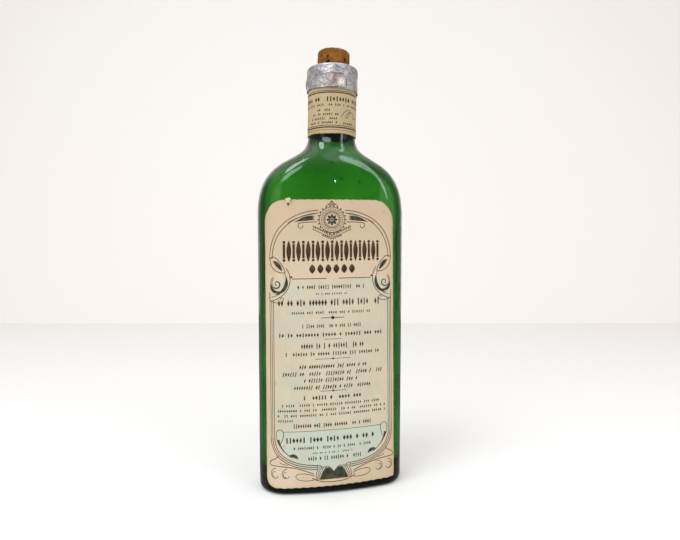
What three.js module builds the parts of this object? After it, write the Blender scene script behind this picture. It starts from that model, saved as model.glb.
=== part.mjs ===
// Antique flat-oval medicine bottle with a cork, a foil capsule and paper labels.
// Units are millimetres. +Z is up, the labelled face looks along -Y, and the origin is
// the centre of the foot that the bottle stands on.

import * as THREE from 'three';

// ---- Driving dimensions ----------------------------------------------------------------

const BODY_HALF_WIDTH = 37.0; // at BODY_MID_Z
const BODY_HALF_DEPTH = 16.5; // at BODY_MID_Z
const BODY_MID_Z = 90;
const BODY_TAPER = 0.025; // the body is this much wider 100 mm further up
const FACE_RADIUS = 138; // bulge of the front and back faces
const SHOULDER_START_Z = 136;
const SHOULDER_SLOPE = 31 * Math.PI / 180; // above the horizontal, at its shallowest
const SHOULDER_FLOW = 0.8; // how late the faces draw in, compared with the sides
const SLOPE_HALF_WIDTH = 24.5; // where the shoulder is shallowest
const SLOPE_Z = 162.2;
const SIDE_PULL = 14.8; // lengths of the shoulder curve's handles, from the side to the neck
const UPPER_SLOPE_PULL = 8.9;
const LOWER_SLOPE_PULL = 11.4;
const NECK_PULL = 10.1;

const WALL = 3.0;
const FLOOR = 6.5;
const HEEL = 2.6; // rounding between the foot and the body
const FOOT_WIDTH = 5.0; // of the flat ring that the bottle stands on
const FOOT_RECESS = 0.8;
const FLOOR_FILLET = 6.0;

const NECK_RADIUS = 11.85;
const NECK_START_Z = 178.5;
const NECK_LEAN = 0.7 * Math.PI / 180; // the hand-tooled neck leans towards +X
const LEAN_START_Z = 158;
const LEAN_END_Z = 172;

const LIP_RADIUS = 12.3;
const LIP_UNDERSIDE_Z = 198.6;
const LIP_SLANT = 1.4;
const LIP_TOP_Z = 209.8;
const LIP_ROUNDING = 1.2;
const MOUTH_RADIUS = 8.6;
const MOUTH_ROUNDING = 0.5;
const BORE_RADIUS = 7.9;
const BORE_Z = 194;

const FOIL_THICKNESS = 0.5;
const FOIL_RADIUS = 13.1;
const FOIL_BOTTOM_Z = 197.9;
const FOIL_TOP_Z = 210.5;
const FOIL_HOLE_RADIUS = 8.9;
const FOIL_CORNER = 0.9;

const CORK_RADIUS = 8.27;
const CORK_END_RADIUS = 7.5;
const CORK_BOTTOM_Z = 195;
const CORK_TAPER_TOP_Z = 209;
const CORK_TOP_Z = 220;
const CORK_ROUNDING = 1.6;

const PAPER_THICKNESS = 0.3;
const BAND_RADIUS = 12.35; // outer face of the paper band round the neck
const BAND_BOTTOM_Z = 175.5;
const BAND_TOP_Z = 197.6;

const LABEL_GAP = 0.2;
const LABEL_LEFT = -36.7; // measured round the glass from the middle of the front face
const LABEL_RIGHT = 29.3;
const LABEL_BOTTOM_Z = 4.0;
const LABEL_TOP_Z = 142.8;
const LABEL_TILT = 0.015; // pasted on a little askew
const LABEL_TOP_CORNER = 9;
const LABEL_BOTTOM_CORNER = 4;

// ---- Facets ----------------------------------------------------------------------------

const TURN_STEPS = 40;
const SHOULDER_STEPS = 6; // for each half of the shoulder's S-curve
const CORNER_STEPS = 3;
const LABEL_COLUMNS = 28;
const LABEL_ROWS = 5; // between the rounded corners
const BISECTIONS = 24;

// ---- Materials -------------------------------------------------------------------------

const glass = new THREE.MeshStandardMaterial({
  color: 0x1f6a1b, roughness: 0.08, metalness: 0, transparent: true, opacity: 0.75,
});
const cork = new THREE.MeshStandardMaterial({ color: 0x8f6234, roughness: 0.9, metalness: 0 });
const foil = new THREE.MeshStandardMaterial({ color: 0xa9a3a5, roughness: 0.45, metalness: 0.8 });
const bandPaper = new THREE.MeshStandardMaterial({ color: 0xcdb996, roughness: 0.9, metalness: 0 });
const labelPaper = new THREE.MeshStandardMaterial({ color: 0xd8c4a5, roughness: 0.9, metalness: 0 });

// ---- The bottle's outer shape ----------------------------------------------------------

function bodyScale(z) {
  return 1 + BODY_TAPER * (z - BODY_MID_Z) / 100;
}

// The shoulder's outline, as an S-curve of two Bezier arcs in the plane (half-width, z).
// Moved inwards by a wall thickness, the same control points give the cavity's shoulder.
function shoulderCurve(wall, neckRadius) {
  const start = new THREE.Vector2(
    BODY_HALF_WIDTH * bodyScale(SHOULDER_START_Z) - wall,
    SHOULDER_START_Z,
  );
  const inwards = new THREE.Vector2(-Math.cos(SHOULDER_SLOPE), Math.sin(SHOULDER_SLOPE));
  const middle = new THREE.Vector2(
    SLOPE_HALF_WIDTH - wall * Math.sin(SHOULDER_SLOPE),
    SLOPE_Z - wall * Math.cos(SHOULDER_SLOPE),
  );
  const end = new THREE.Vector2(neckRadius, NECK_START_Z);
  const upperBend = new THREE.CubicBezierCurve(
    start,
    start.clone().add(new THREE.Vector2(0, SIDE_PULL)),
    middle.clone().addScaledVector(inwards, -UPPER_SLOPE_PULL),
    middle,
  );
  const lowerBend = new THREE.CubicBezierCurve(
    middle,
    middle.clone().addScaledVector(inwards, LOWER_SLOPE_PULL),
    end.clone().add(new THREE.Vector2(0, -NECK_PULL)),
    end,
  );
  return [upperBend, lowerBend];
}

function shoulderPoints(wall, neckRadius) {
  const [upperBend, lowerBend] = shoulderCurve(wall, neckRadius);
  return [...upperBend.getPoints(SHOULDER_STEPS), ...lowerBend.getPoints(SHOULDER_STEPS).slice(1)];
}

// Half-depth of a shoulder ring: it goes from the body's to the neck's as the width does.
function shoulderHalfDepth(halfWidth, wall, neckRadius) {
  const top = bodyScale(SHOULDER_START_Z);
  const bodyWidth = BODY_HALF_WIDTH * top - wall;
  const bodyDepth = BODY_HALF_DEPTH * top - wall;
  const share = (halfWidth - neckRadius) / (bodyWidth - neckRadius);
  return neckRadius + (bodyDepth - neckRadius) * Math.max(share, 0) ** SHOULDER_FLOW;
}

// Half-width and half-depth of the outer skin at any height up to the shoulder's slope.
function skinAt(z) {
  if (z <= SHOULDER_START_Z) {
    return { a: BODY_HALF_WIDTH * bodyScale(z), b: BODY_HALF_DEPTH * bodyScale(z) };
  }
  const bend = shoulderCurve(0, NECK_RADIUS)[0];
  let low = 0;
  let high = 1;
  for (let step = 0; step < BISECTIONS; step += 1) {
    const middle = (low + high) / 2;
    if (bend.getPoint(middle).y < z) {
      low = middle;
    } else {
      high = middle;
    }
  }
  const halfWidth = bend.getPoint(low).x;
  return { a: halfWidth, b: shoulderHalfDepth(halfWidth, 0, NECK_RADIUS) };
}

// The cross-section is an oval of four arcs: two flat ones of FACE_RADIUS in front and
// behind, and two tight ones at the sides. sideArc gives the tight ones' radius and centre.
function sideArc(a, b) {
  const radius = (2 * FACE_RADIUS * b - a * a - b * b) / (2 * (FACE_RADIUS - a));
  const centre = a - radius;
  return { radius, centre, joint: Math.atan2(centre, FACE_RADIUS - b) };
}

// A point of the oval with half-width a and half-depth b. The turn starts at the front and
// goes to +X, and is spread so that the steps are about even on a wide oval and on a circle.
function ovalPoint(a, b, turn) {
  const { radius, centre, joint } = sideArc(a, b);
  const ray = new THREE.Vector2(a * Math.sin(turn), b * Math.cos(turn)).normalize();
  const across = Math.abs(ray.x);
  const ahead = Math.abs(ray.y);
  const jointRay = Math.atan2(FACE_RADIUS * Math.sin(joint), FACE_RADIUS * (Math.cos(joint) - 1) + b);
  let reach;
  if (Math.atan2(across, ahead) < jointRay) {
    const behind = FACE_RADIUS - b;
    reach = Math.sqrt(FACE_RADIUS ** 2 - (across * behind) ** 2) - ahead * behind;
  } else {
    reach = across * centre + Math.sqrt(radius ** 2 - (ahead * centre) ** 2);
  }
  return { x: ray.x * reach, y: -ray.y * reach };
}

// A point on the skin, found by going round it from the middle of the front face, at a
// distance outwards from the glass.
function skinPoint(around, z, outwards) {
  const { a, b } = skinAt(z);
  const { radius, centre, joint } = sideArc(a, b);
  const side = Math.sign(around);
  const length = Math.abs(around);
  const flat = FACE_RADIUS * joint;
  if (length < flat) {
    const angle = length / FACE_RADIUS;
    const reach = FACE_RADIUS + outwards;
    return new THREE.Vector3(side * reach * Math.sin(angle), FACE_RADIUS - b - reach * Math.cos(angle), z);
  }
  const angle = joint + (length - flat) / radius;
  const reach = radius + outwards;
  return new THREE.Vector3(side * (centre + reach * Math.sin(angle)), -reach * Math.cos(angle), z);
}

// ---- Helpers ---------------------------------------------------------------------------

function quarterArc(centreX, centreZ, radius, from, to) {
  const points = [];
  for (let step = 0; step <= CORNER_STEPS; step += 1) {
    const angle = THREE.MathUtils.degToRad(from + (to - from) * step / CORNER_STEPS);
    const point = new THREE.Vector2(centreX + radius * Math.cos(angle), centreZ + radius * Math.sin(angle));
    points.push(point);
  }
  return points;
}

// Turns what is above the shoulder about the Y axis, by an angle that grows from nothing
// at LEAN_START_Z to the whole lean at LEAN_END_Z.
function leanWithNeck(geometry) {
  const place = geometry.getAttribute('position');
  const point = new THREE.Vector3();
  const pivot = new THREE.Vector3(0, 0, LEAN_START_Z);
  const axis = new THREE.Vector3(0, 1, 0);
  for (let i = 0; i < place.count; i += 1) {
    point.fromBufferAttribute(place, i);
    const share = THREE.MathUtils.smoothstep(point.z, LEAN_START_Z, LEAN_END_Z);
    point.sub(pivot).applyAxisAngle(axis, NECK_LEAN * share).add(pivot);
    place.setXYZ(i, point.x, point.y, point.z);
  }
  return geometry;
}

function turned(profile) {
  const geometry = new THREE.LatheGeometry(profile, TURN_STEPS);
  return geometry.rotateX(Math.PI / 2);
}

function subpart(name, geometry, material) {
  geometry.computeVertexNormals();
  const mesh = new THREE.Mesh(geometry, material);
  mesh.name = name;
  return mesh;
}

// ---- Glass bottle ----------------------------------------------------------------------

// Every ring of the bottle, from the middle of the foot up the outside, over the lip and
// down the inside to the middle of the cavity's floor.
function bottleRings() {
  const rings = [];
  const round = (points) => points.forEach(({ x, y }) => rings.push({ a: x, b: x, z: y }));
  const inset = (inwards, z) => {
    const scale = bodyScale(z);
    rings.push({ a: BODY_HALF_WIDTH * scale - inwards, b: BODY_HALF_DEPTH * scale - inwards, z });
  };
  const shoulder = (points, wall, neckRadius) => points.forEach(({ x, y }) => {
    rings.push({ a: x, b: shoulderHalfDepth(x, wall, neckRadius), z: y });
  });

  round([new THREE.Vector2(0, FOOT_RECESS)]);
  inset(HEEL + FOOT_WIDTH + 2 * FOOT_RECESS, FOOT_RECESS);
  inset(HEEL + FOOT_WIDTH, 0);
  quarterArc(HEEL, HEEL, HEEL, -90, -180).forEach(({ x, y }) => inset(x, y));
  shoulder(shoulderPoints(0, NECK_RADIUS), 0, NECK_RADIUS);
  round([
    new THREE.Vector2(NECK_RADIUS, LIP_UNDERSIDE_Z),
    new THREE.Vector2(LIP_RADIUS, LIP_UNDERSIDE_Z + LIP_SLANT),
  ]);
  round(quarterArc(LIP_RADIUS - LIP_ROUNDING, LIP_TOP_Z - LIP_ROUNDING, LIP_ROUNDING, 0, 90));
  round([
    new THREE.Vector2(MOUTH_RADIUS + MOUTH_ROUNDING, LIP_TOP_Z),
    new THREE.Vector2(MOUTH_RADIUS, LIP_TOP_Z - MOUTH_ROUNDING),
    new THREE.Vector2(BORE_RADIUS, BORE_Z),
  ]);
  shoulder(shoulderPoints(WALL, BORE_RADIUS).reverse(), WALL, BORE_RADIUS);
  quarterArc(FLOOR_FILLET, FLOOR + FLOOR_FILLET, FLOOR_FILLET, -180, -90).forEach(({ x, y }) => {
    inset(WALL + x, y);
  });
  round([new THREE.Vector2(0, FLOOR)]);
  return rings;
}

function glassBottle() {
  const rings = bottleRings();
  const profile = rings.map((ring) => new THREE.Vector2(ring.a, ring.z));
  const geometry = turned(profile);
  const place = geometry.getAttribute('position');
  for (let i = 0; i < place.count; i += 1) {
    const ring = rings[i % rings.length];
    const turn = Math.floor(i / rings.length) % TURN_STEPS;
    if (ring.a > 0) {
      const { x, y } = ovalPoint(ring.a, ring.b, turn * 2 * Math.PI / TURN_STEPS);
      place.setXYZ(i, x, y, ring.z);
    }
  }
  return subpart('glass_bottle', leanWithNeck(geometry), glass);
}

// ---- Cork, foil and paper --------------------------------------------------------------

function corkStopper() {
  const profile = [
    new THREE.Vector2(0, CORK_BOTTOM_Z),
    new THREE.Vector2(CORK_END_RADIUS, CORK_BOTTOM_Z),
    new THREE.Vector2(CORK_RADIUS, CORK_TAPER_TOP_Z),
    ...quarterArc(CORK_RADIUS - CORK_ROUNDING, CORK_TOP_Z - CORK_ROUNDING, CORK_ROUNDING, 0, 90),
    new THREE.Vector2(0, CORK_TOP_Z),
  ];
  return subpart('cork_stopper', leanWithNeck(turned(profile)), cork);
}

// A soft metal skirt round the lip, folded over the lip's top as far as the cork.
function foilCapsule() {
  const inner = FOIL_RADIUS - FOIL_THICKNESS;
  const ceiling = FOIL_TOP_Z - FOIL_THICKNESS;
  const innerCorner = FOIL_CORNER - FOIL_THICKNESS;
  const outerBend = quarterArc(FOIL_RADIUS - FOIL_CORNER, FOIL_TOP_Z - FOIL_CORNER, FOIL_CORNER, 0, 90);
  const innerBend = quarterArc(inner - innerCorner, ceiling - innerCorner, innerCorner, 90, 0);
  const profile = [
    new THREE.Vector2(inner, FOIL_BOTTOM_Z),
    new THREE.Vector2(FOIL_RADIUS, FOIL_BOTTOM_Z),
    ...outerBend,
    new THREE.Vector2(FOIL_HOLE_RADIUS, FOIL_TOP_Z),
    new THREE.Vector2(FOIL_HOLE_RADIUS, ceiling),
    ...innerBend,
    new THREE.Vector2(inner, FOIL_BOTTOM_Z),
  ];
  return subpart('foil_capsule', leanWithNeck(turned(profile)), foil);
}

function neckLabel() {
  const inner = BAND_RADIUS - PAPER_THICKNESS;
  const profile = [
    new THREE.Vector2(inner, BAND_BOTTOM_Z),
    new THREE.Vector2(BAND_RADIUS, BAND_BOTTOM_Z),
    new THREE.Vector2(BAND_RADIUS, BAND_TOP_Z),
    new THREE.Vector2(inner, BAND_TOP_Z),
    new THREE.Vector2(inner, BAND_BOTTOM_Z),
  ];
  return subpart('neck_label', leanWithNeck(turned(profile)), bandPaper);
}

// Rows of the flat label, each with how far its ends draw in at the rounded corners.
function labelRows() {
  const row = ({ x, y }) => ({ drawIn: x, z: y });
  const bottom = quarterArc(LABEL_BOTTOM_CORNER, LABEL_BOTTOM_Z + LABEL_BOTTOM_CORNER, LABEL_BOTTOM_CORNER,
    -90, -180);
  const top = quarterArc(LABEL_TOP_CORNER, LABEL_TOP_Z - LABEL_TOP_CORNER, LABEL_TOP_CORNER, 180, 90);
  const between = [];
  for (let step = 1; step < LABEL_ROWS; step += 1) {
    between.push({ drawIn: 0, z: THREE.MathUtils.lerp(bottom.at(-1).y, top[0].y, step / LABEL_ROWS) });
  }
  return [...bottom.map(row), ...between, ...top.map(row)];
}

// A thin slab, laid out flat, drawn in at its corners, tilted, and wrapped on the glass.
function frontLabel() {
  const rows = labelRows();
  const geometry = new THREE.BoxGeometry(1, 1, 1, LABEL_COLUMNS, 1, rows.length - 1);
  const place = geometry.getAttribute('position');
  const middle = new THREE.Vector2(
    (LABEL_LEFT + LABEL_RIGHT) / 2,
    (LABEL_BOTTOM_Z + LABEL_TOP_Z) / 2,
  );
  const flat = new THREE.Vector2();
  for (let i = 0; i < place.count; i += 1) {
    const { drawIn, z } = rows[Math.round((place.getZ(i) + 0.5) * (rows.length - 1))];
    const around = THREE.MathUtils.lerp(LABEL_LEFT + drawIn, LABEL_RIGHT - drawIn, place.getX(i) + 0.5);
    const outwards = LABEL_GAP + PAPER_THICKNESS * (0.5 - place.getY(i));
    flat.set(around, z).rotateAround(middle, LABEL_TILT);
    const point = skinPoint(flat.x, flat.y, outwards);
    place.setXYZ(i, point.x, point.y, point.z);
  }
  return subpart('front_label', geometry, labelPaper);
}

const bottle = new THREE.Group();
bottle.add(glassBottle());
bottle.add(corkStopper());
bottle.add(foilCapsule());
bottle.add(neckLabel());
bottle.add(frontLabel());

export default bottle;
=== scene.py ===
# %% [markdown]
# # An old medicine bottle, corked and capped with foil
# The bottle is one piece of dark green glass, blown in a mould and finished by hand at the neck.
# A cork closes it, a skirt of soft foil is pressed round the lip, a paper band is pasted round
# the neck and a big printed label is wrapped on the front. The CAD model gives every piece its
# place and size. This lesson gives each piece its looks, and leaves the places as they are.

import math

import bmesh
import bpy
import numpy as np
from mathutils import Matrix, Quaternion, Vector, noise


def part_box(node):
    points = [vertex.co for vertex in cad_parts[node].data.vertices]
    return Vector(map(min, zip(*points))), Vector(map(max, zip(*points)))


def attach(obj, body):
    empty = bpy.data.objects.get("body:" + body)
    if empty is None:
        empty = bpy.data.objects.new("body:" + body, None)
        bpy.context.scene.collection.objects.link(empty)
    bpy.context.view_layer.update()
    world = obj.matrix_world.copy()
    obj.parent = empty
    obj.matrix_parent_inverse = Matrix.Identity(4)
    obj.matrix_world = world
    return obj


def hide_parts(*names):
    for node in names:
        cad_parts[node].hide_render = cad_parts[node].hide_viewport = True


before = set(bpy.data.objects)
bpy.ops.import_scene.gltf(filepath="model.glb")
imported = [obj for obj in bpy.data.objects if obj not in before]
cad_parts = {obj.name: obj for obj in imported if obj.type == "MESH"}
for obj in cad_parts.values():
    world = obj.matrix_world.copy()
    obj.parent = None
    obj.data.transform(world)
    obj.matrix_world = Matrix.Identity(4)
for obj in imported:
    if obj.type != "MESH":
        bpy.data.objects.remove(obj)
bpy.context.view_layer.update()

# %% [markdown]
# The lesson works in millimetres, because a bottle maker does, and turns them into Blender's
# metres only when a mesh is made. The bottle stands on its foot at the origin and its label
# looks along -Y. The glass's size and the foil's top are read from the CAD boxes.

# %% Sizes read from the frame
MM = 0.001


def box_mm(node):
    low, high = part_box(node)
    return Vector(low) / MM, Vector(high) / MM


glass_low, glass_high = box_mm("glass_bottle")
foil_top = box_mm("foil_capsule")[1].z
print("glass is", [round(v, 1) for v in glass_high - glass_low], "mm")

# %% [markdown]
# ## The shape of the glass
# The body's cross-section is an oval of four arcs: two flat ones in front and behind, two tight
# ones at the sides. Above the body an S-curve draws it in to a round neck, and the neck leans a
# little, as hand-tooled necks do. The CAD skin is faceted, so the same rule is written here
# again and sampled finely, which keeps the smooth glass close to the CAD skin everywhere.

# %% The rule of the bottle's skin
BODY_HALF_WIDTH = 37.0
BODY_HALF_DEPTH = 16.5
BODY_MID_Z = 90.0
BODY_TAPER = 0.025
FACE_RADIUS = 138.0
SHOULDER_START_Z = 136.0
SHOULDER_SLOPE = math.radians(31)
SHOULDER_FLOW = 0.8
SLOPE_HALF_WIDTH = 24.5
SLOPE_Z = 162.2
BODY_PULL = 14.8
UPPER_PULL = 8.9
LOWER_PULL = 11.4
NECK_PULL = 10.1
NECK_RADIUS = 11.85
NECK_START_Z = 178.5
NECK_LEAN = math.radians(0.7)
LEAN_START_Z = 158.0
LEAN_END_Z = 172.0
WALL = 3.0
BORE_RADIUS = 7.9


def bezier(start, pull_out, pull_in, end, steps):
    """Points along one smooth pull from start to end."""
    t = np.linspace(0, 1, steps + 1)[:, None]
    corners = [np.array(p, float) for p in (start, pull_out, pull_in, end)]
    weights = [(1 - t) ** 3, 3 * (1 - t) ** 2 * t, 3 * (1 - t) * t ** 2, t ** 3]
    return sum(weight * corner for weight, corner in zip(weights, corners))


def body_scale(z):
    """The mould widens a little towards the shoulder."""
    return 1 + BODY_TAPER * (z - BODY_MID_Z) / 100


def shoulder_line(wall, neck_radius, steps):
    """Half-widths and heights up the shoulder, for the skin (wall 0) or the cavity."""
    start = np.array([BODY_HALF_WIDTH * body_scale(SHOULDER_START_Z) - wall, SHOULDER_START_Z])
    middle = np.array([
        SLOPE_HALF_WIDTH - wall * math.sin(SHOULDER_SLOPE),
        SLOPE_Z - wall * math.cos(SHOULDER_SLOPE),
    ])
    end = np.array([neck_radius, NECK_START_Z])
    inwards = np.array([-math.cos(SHOULDER_SLOPE), math.sin(SHOULDER_SLOPE)])
    upper = bezier(start, start + (0, BODY_PULL), middle - UPPER_PULL * inwards, middle, steps)
    lower = bezier(middle, middle + LOWER_PULL * inwards, end - (0, NECK_PULL), end, steps)
    return np.vstack([upper, lower[1:]])


def shoulder_depth(half_width, wall, neck_radius):
    """Half the depth that goes with a half-width, as the oval turns into the round neck."""
    top = body_scale(SHOULDER_START_Z)
    wide = BODY_HALF_WIDTH * top - wall
    deep = BODY_HALF_DEPTH * top - wall
    share = np.clip((half_width - neck_radius) / (wide - neck_radius), 0, 1)
    return neck_radius + (deep - neck_radius) * share ** SHOULDER_FLOW


def side_arc(a, b):
    """Radius and centre of the tight side arcs, and the angle where the flat arcs end."""
    radius = (2 * FACE_RADIUS * b - a * a - b * b) / (2 * (FACE_RADIUS - a))
    centre = a - radius
    return radius, centre, np.arctan2(centre, FACE_RADIUS - b)


def even_turns(count):
    return np.linspace(0, 2 * math.pi, count, endpoint=False)


def on_circle(angle):
    return np.stack([np.cos(angle), np.sin(angle)], axis=1)


def level(first, last, height, steps):
    """Points side by side at one height."""
    return np.stack([np.linspace(first, last, steps), np.full(steps, height)], axis=1)


def plumb(across, first, last, steps):
    """Points one above another."""
    return level(first, last, across, steps)[:, ::-1]


def round_points(reach, turn, z):
    """Points at a distance from the bottle's middle line. A turn of 0 is the front."""
    return np.stack(np.broadcast_arrays(reach * np.sin(turn), -reach * np.cos(turn), z), axis=-1)


def oval_ring(a, b, turns):
    """Points round the oval. A turn of 0 is the front, and a quarter turn is +X."""
    radius, centre, joint = side_arc(a, b)
    ray = np.stack([a * np.sin(turns), b * np.cos(turns)], axis=1)
    ray /= np.linalg.norm(ray, axis=1)[:, None]
    across, ahead = np.abs(ray[:, 0]), np.abs(ray[:, 1])
    behind = FACE_RADIUS - b
    joint_ray = math.atan2(FACE_RADIUS * math.sin(joint), FACE_RADIUS * math.cos(joint) - behind)
    flat = np.sqrt(np.maximum(FACE_RADIUS ** 2 - (across * behind) ** 2, 0)) - ahead * behind
    tight = across * centre + np.sqrt(np.maximum(radius ** 2 - (ahead * centre) ** 2, 0))
    reach = np.where(np.arctan2(across, ahead) < joint_ray, flat, tight)
    return np.stack([ray[:, 0] * reach, -ray[:, 1] * reach], axis=1)


def lean(points):
    """Leans what is above the shoulder towards +X, as the CAD neck does."""
    points = np.array(points, float)
    up = points[:, 2]
    ease = np.clip((up - LEAN_START_Z) / (LEAN_END_Z - LEAN_START_Z), 0, 1)
    angle = NECK_LEAN * ease * ease * (3 - 2 * ease)
    x, z = points[:, 0].copy(), up - LEAN_START_Z
    points[:, 0] = x * np.cos(angle) + z * np.sin(angle)
    points[:, 2] = LEAN_START_Z + z * np.cos(angle) - x * np.sin(angle)
    return points


print("half-width at mid body", BODY_HALF_WIDTH, "CAD's widest", round(glass_high.x, 2))

# %% [markdown]
# Paper is pasted on the glass, so it must follow the same skin. The next helper finds a point by
# walking round the skin from the middle of the front face, at a height, at a distance outwards.

# %% A point on the skin
skin_line = shoulder_line(0, NECK_RADIUS, 60)


def skin_points(around, z, outwards):
    above = np.interp(z, skin_line[:, 1], skin_line[:, 0])
    on_shoulder = z > SHOULDER_START_Z
    a = np.where(on_shoulder, above, BODY_HALF_WIDTH * body_scale(z))
    b = np.where(on_shoulder, shoulder_depth(above, 0, NECK_RADIUS), BODY_HALF_DEPTH * body_scale(z))
    radius, centre, joint = side_arc(a, b)
    length, side = np.abs(around), np.sign(around)
    flat = FACE_RADIUS * joint
    on_flat = length < flat
    angle = np.where(on_flat, length / FACE_RADIUS, joint + (length - flat) / radius)
    reach = np.where(on_flat, FACE_RADIUS, radius) + outwards
    x = side * (np.where(on_flat, 0, centre) + reach * np.sin(angle))
    y = np.where(on_flat, FACE_RADIUS - b, 0) - reach * np.cos(angle)
    return np.stack([x, y, z], axis=1)


# %% [markdown]
# A few small helpers make the meshes. A piece is made of rings that are joined into a skin, or of
# a sheet with a front, a back and edges. Each mesh is closed, and its faces point outwards.

# %% Mesh helpers
def ring_faces(count, around, closed):
    """Faces between rings that have the same number of points. Closed joins last to first."""
    index = np.arange(count * around).reshape(count, around)
    nearby = np.roll(index, -1, axis=1)
    rows = np.arange(count if closed else count - 1)
    after = (rows + 1) % count
    quads = np.stack([index[rows], nearby[rows], nearby[after], index[after]], axis=-1)
    return quads.reshape(-1, 4).tolist()


def pole_faces(rings, around):
    """Triangles that close both ends of a skin. The two poles come after all the rings."""
    pole, last = rings * around, (rings - 1) * around
    faces = []
    for i in range(around):
        j = (i + 1) % around
        faces += [[pole, j, i], [pole + 1, last + i, last + j]]
    return faces


def sheet_faces(rows, columns):
    """Faces of a thin closed sheet: its front's points come first, then its back's."""
    index = np.arange(rows * columns).reshape(rows, columns)
    quads = np.stack([index[:-1, :-1], index[:-1, 1:], index[1:, 1:], index[1:, :-1]], axis=-1)
    front = quads.reshape(-1, 4)
    back = front[:, ::-1] + rows * columns
    rim = np.concatenate([index[0], index[1:, -1], index[-1, -2::-1], index[-2:0:-1, 0]])
    after = np.roll(rim, -1)
    edge = np.stack([rim, rim + rows * columns, after + rows * columns, after], axis=1)
    return front.tolist() + back.tolist() + edge.tolist()


def new_piece(name, points, faces, material):
    mesh = bpy.data.meshes.new(name)
    mesh.from_pydata((np.asarray(points, float) * MM).tolist(), [], faces)
    work = bmesh.new()
    work.from_mesh(mesh)
    bmesh.ops.recalc_face_normals(work, faces=work.faces)
    for face in work.faces:
        face.smooth = True
    work.to_mesh(mesh)
    work.free()
    mesh.materials.append(material)
    piece = bpy.data.objects.new(name, mesh)
    bpy.context.scene.collection.objects.link(piece)
    print(name, "has", len(mesh.vertices), "points and", len(mesh.polygons), "faces")
    return piece


def new_sheet(name, paste, x, up, front, back, material):
    """A thin closed sheet: its front and its back are pasted at their own heights."""
    layers = [paste(x.ravel(), up.ravel(), np.ravel(lift)) for lift in (front, back)]
    return new_piece(name, np.vstack(layers), sheet_faces(*x.shape), material)


def store(piece, name, values):
    """Keeps one number for each point, for the material to read."""
    attribute = piece.data.attributes.new(name, "FLOAT", "POINT")
    attribute.data.foreach_set("value", np.asarray(values, np.float32))


# %% [markdown]
# ## Materials
# Colours are written as a painter reads them from a screen and turned into the linear values
# that Blender wants. Every material is nodes, with nothing that depends on the camera.

# %% Colour and node helpers
def screen(red, green, blue):
    """A colour as a screen shows it, from 0 to 255, made linear."""
    def linear(value):
        value /= 255
        return value / 12.92 if value <= 0.04045 else ((value + 0.055) / 1.055) ** 2.4
    return (linear(red), linear(green), linear(blue), 1.0)


def add(tree, kind, inputs=None, **settings):
    """Adds a node, with its settings, and a value or a link for each of its inputs."""
    made = tree.nodes.new(kind)
    for setting, value in settings.items():
        setattr(made, setting, value)
    for socket, value in (inputs or {}).items():
        if isinstance(value, bpy.types.NodeSocket):
            tree.links.new(value, made.inputs[socket])
        else:
            made.inputs[socket].default_value = value
    return made


def new_material(name, constants):
    """A material of nodes. What is the same all over is set on the shader's own sockets."""
    material = bpy.data.materials.new(name)
    material.use_nodes = True
    tree = material.node_tree
    shader = tree.nodes["Principled BSDF"]
    for socket, value in constants.items():
        shader.inputs[socket].default_value = value
    return material, tree, shader


def coat(tree, shader, colour, coats):
    """Lays colours over the first one in turn, each as far as its mask reaches."""
    for mask, over in coats:
        mixed = add(tree, "ShaderNodeMix", {0: mask, 6: colour, 7: over}, data_type="RGBA")
        colour = mixed.outputs[2]
    tree.links.new(colour, shader.inputs["Base Color"])


def stored(tree, name):
    """Reads back a number that was kept for each point."""
    return add(tree, "ShaderNodeAttribute", attribute_name=name).outputs["Fac"]


# %% [markdown]
# Two effects are used by several materials, so each is a node group. Mottle is a soft cloudy
# mask at two sizes at once, for age, patina and uneven ink. Tooth is a fine uneven height, which
# paper, ink, foil, cork and even glass have, each at its own scale.

# %% Shared node groups
def group(name, inputs, output):
    """A new node group with named inputs and one output, which is a number."""
    tree = bpy.data.node_groups.new(name, "ShaderNodeTree")
    for socket, kind, value in inputs:
        made = tree.interface.new_socket(socket, in_out="INPUT", socket_type=kind)
        if value is not None:
            made.default_value = value
    tree.interface.new_socket(output, in_out="OUTPUT", socket_type="NodeSocketFloat")
    return tree, add(tree, "NodeGroupInput"), add(tree, "NodeGroupOutput")


def build_mottle():
    tree, given, result = group("mottle", [
        ("Vector", "NodeSocketVector", None),
        ("Scale", "NodeSocketFloat", 60.0),
        ("Low", "NodeSocketFloat", 0.4),
        ("High", "NodeSocketFloat", 0.7),
    ], "Mask")
    broad = add(tree, "ShaderNodeTexNoise", {
        "Vector": given.outputs["Vector"], "Scale": given.outputs["Scale"], "Detail": 4.0})
    finer = add(tree, "ShaderNodeMath", {0: given.outputs["Scale"], 1: 6.0}, operation="MULTIPLY")
    fine = add(tree, "ShaderNodeTexNoise", {
        "Vector": given.outputs["Vector"], "Scale": finer.outputs[0], "Detail": 2.0})
    both = add(tree, "ShaderNodeMix", {0: 0.25, 2: broad.outputs[0], 3: fine.outputs[0]})
    mask = add(tree, "ShaderNodeMapRange", {
        "Value": both.outputs[0], "From Min": given.outputs["Low"], "From Max": given.outputs["High"]})
    tree.links.new(mask.outputs["Result"], result.inputs["Mask"])
    return tree


def build_tooth():
    tree, given, result = group("tooth", [
        ("Vector", "NodeSocketVector", None),
        ("Scale", "NodeSocketFloat", 900.0),
        ("Roughness", "NodeSocketFloat", 0.6),
    ], "Height")
    grain = add(tree, "ShaderNodeTexNoise", {
        "Vector": given.outputs["Vector"], "Scale": given.outputs["Scale"],
        "Detail": 5.0, "Roughness": given.outputs["Roughness"]})
    tree.links.new(grain.outputs[0], result.inputs["Height"])
    return tree


MOTTLE = build_mottle()
TOOTH = build_tooth()


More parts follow.
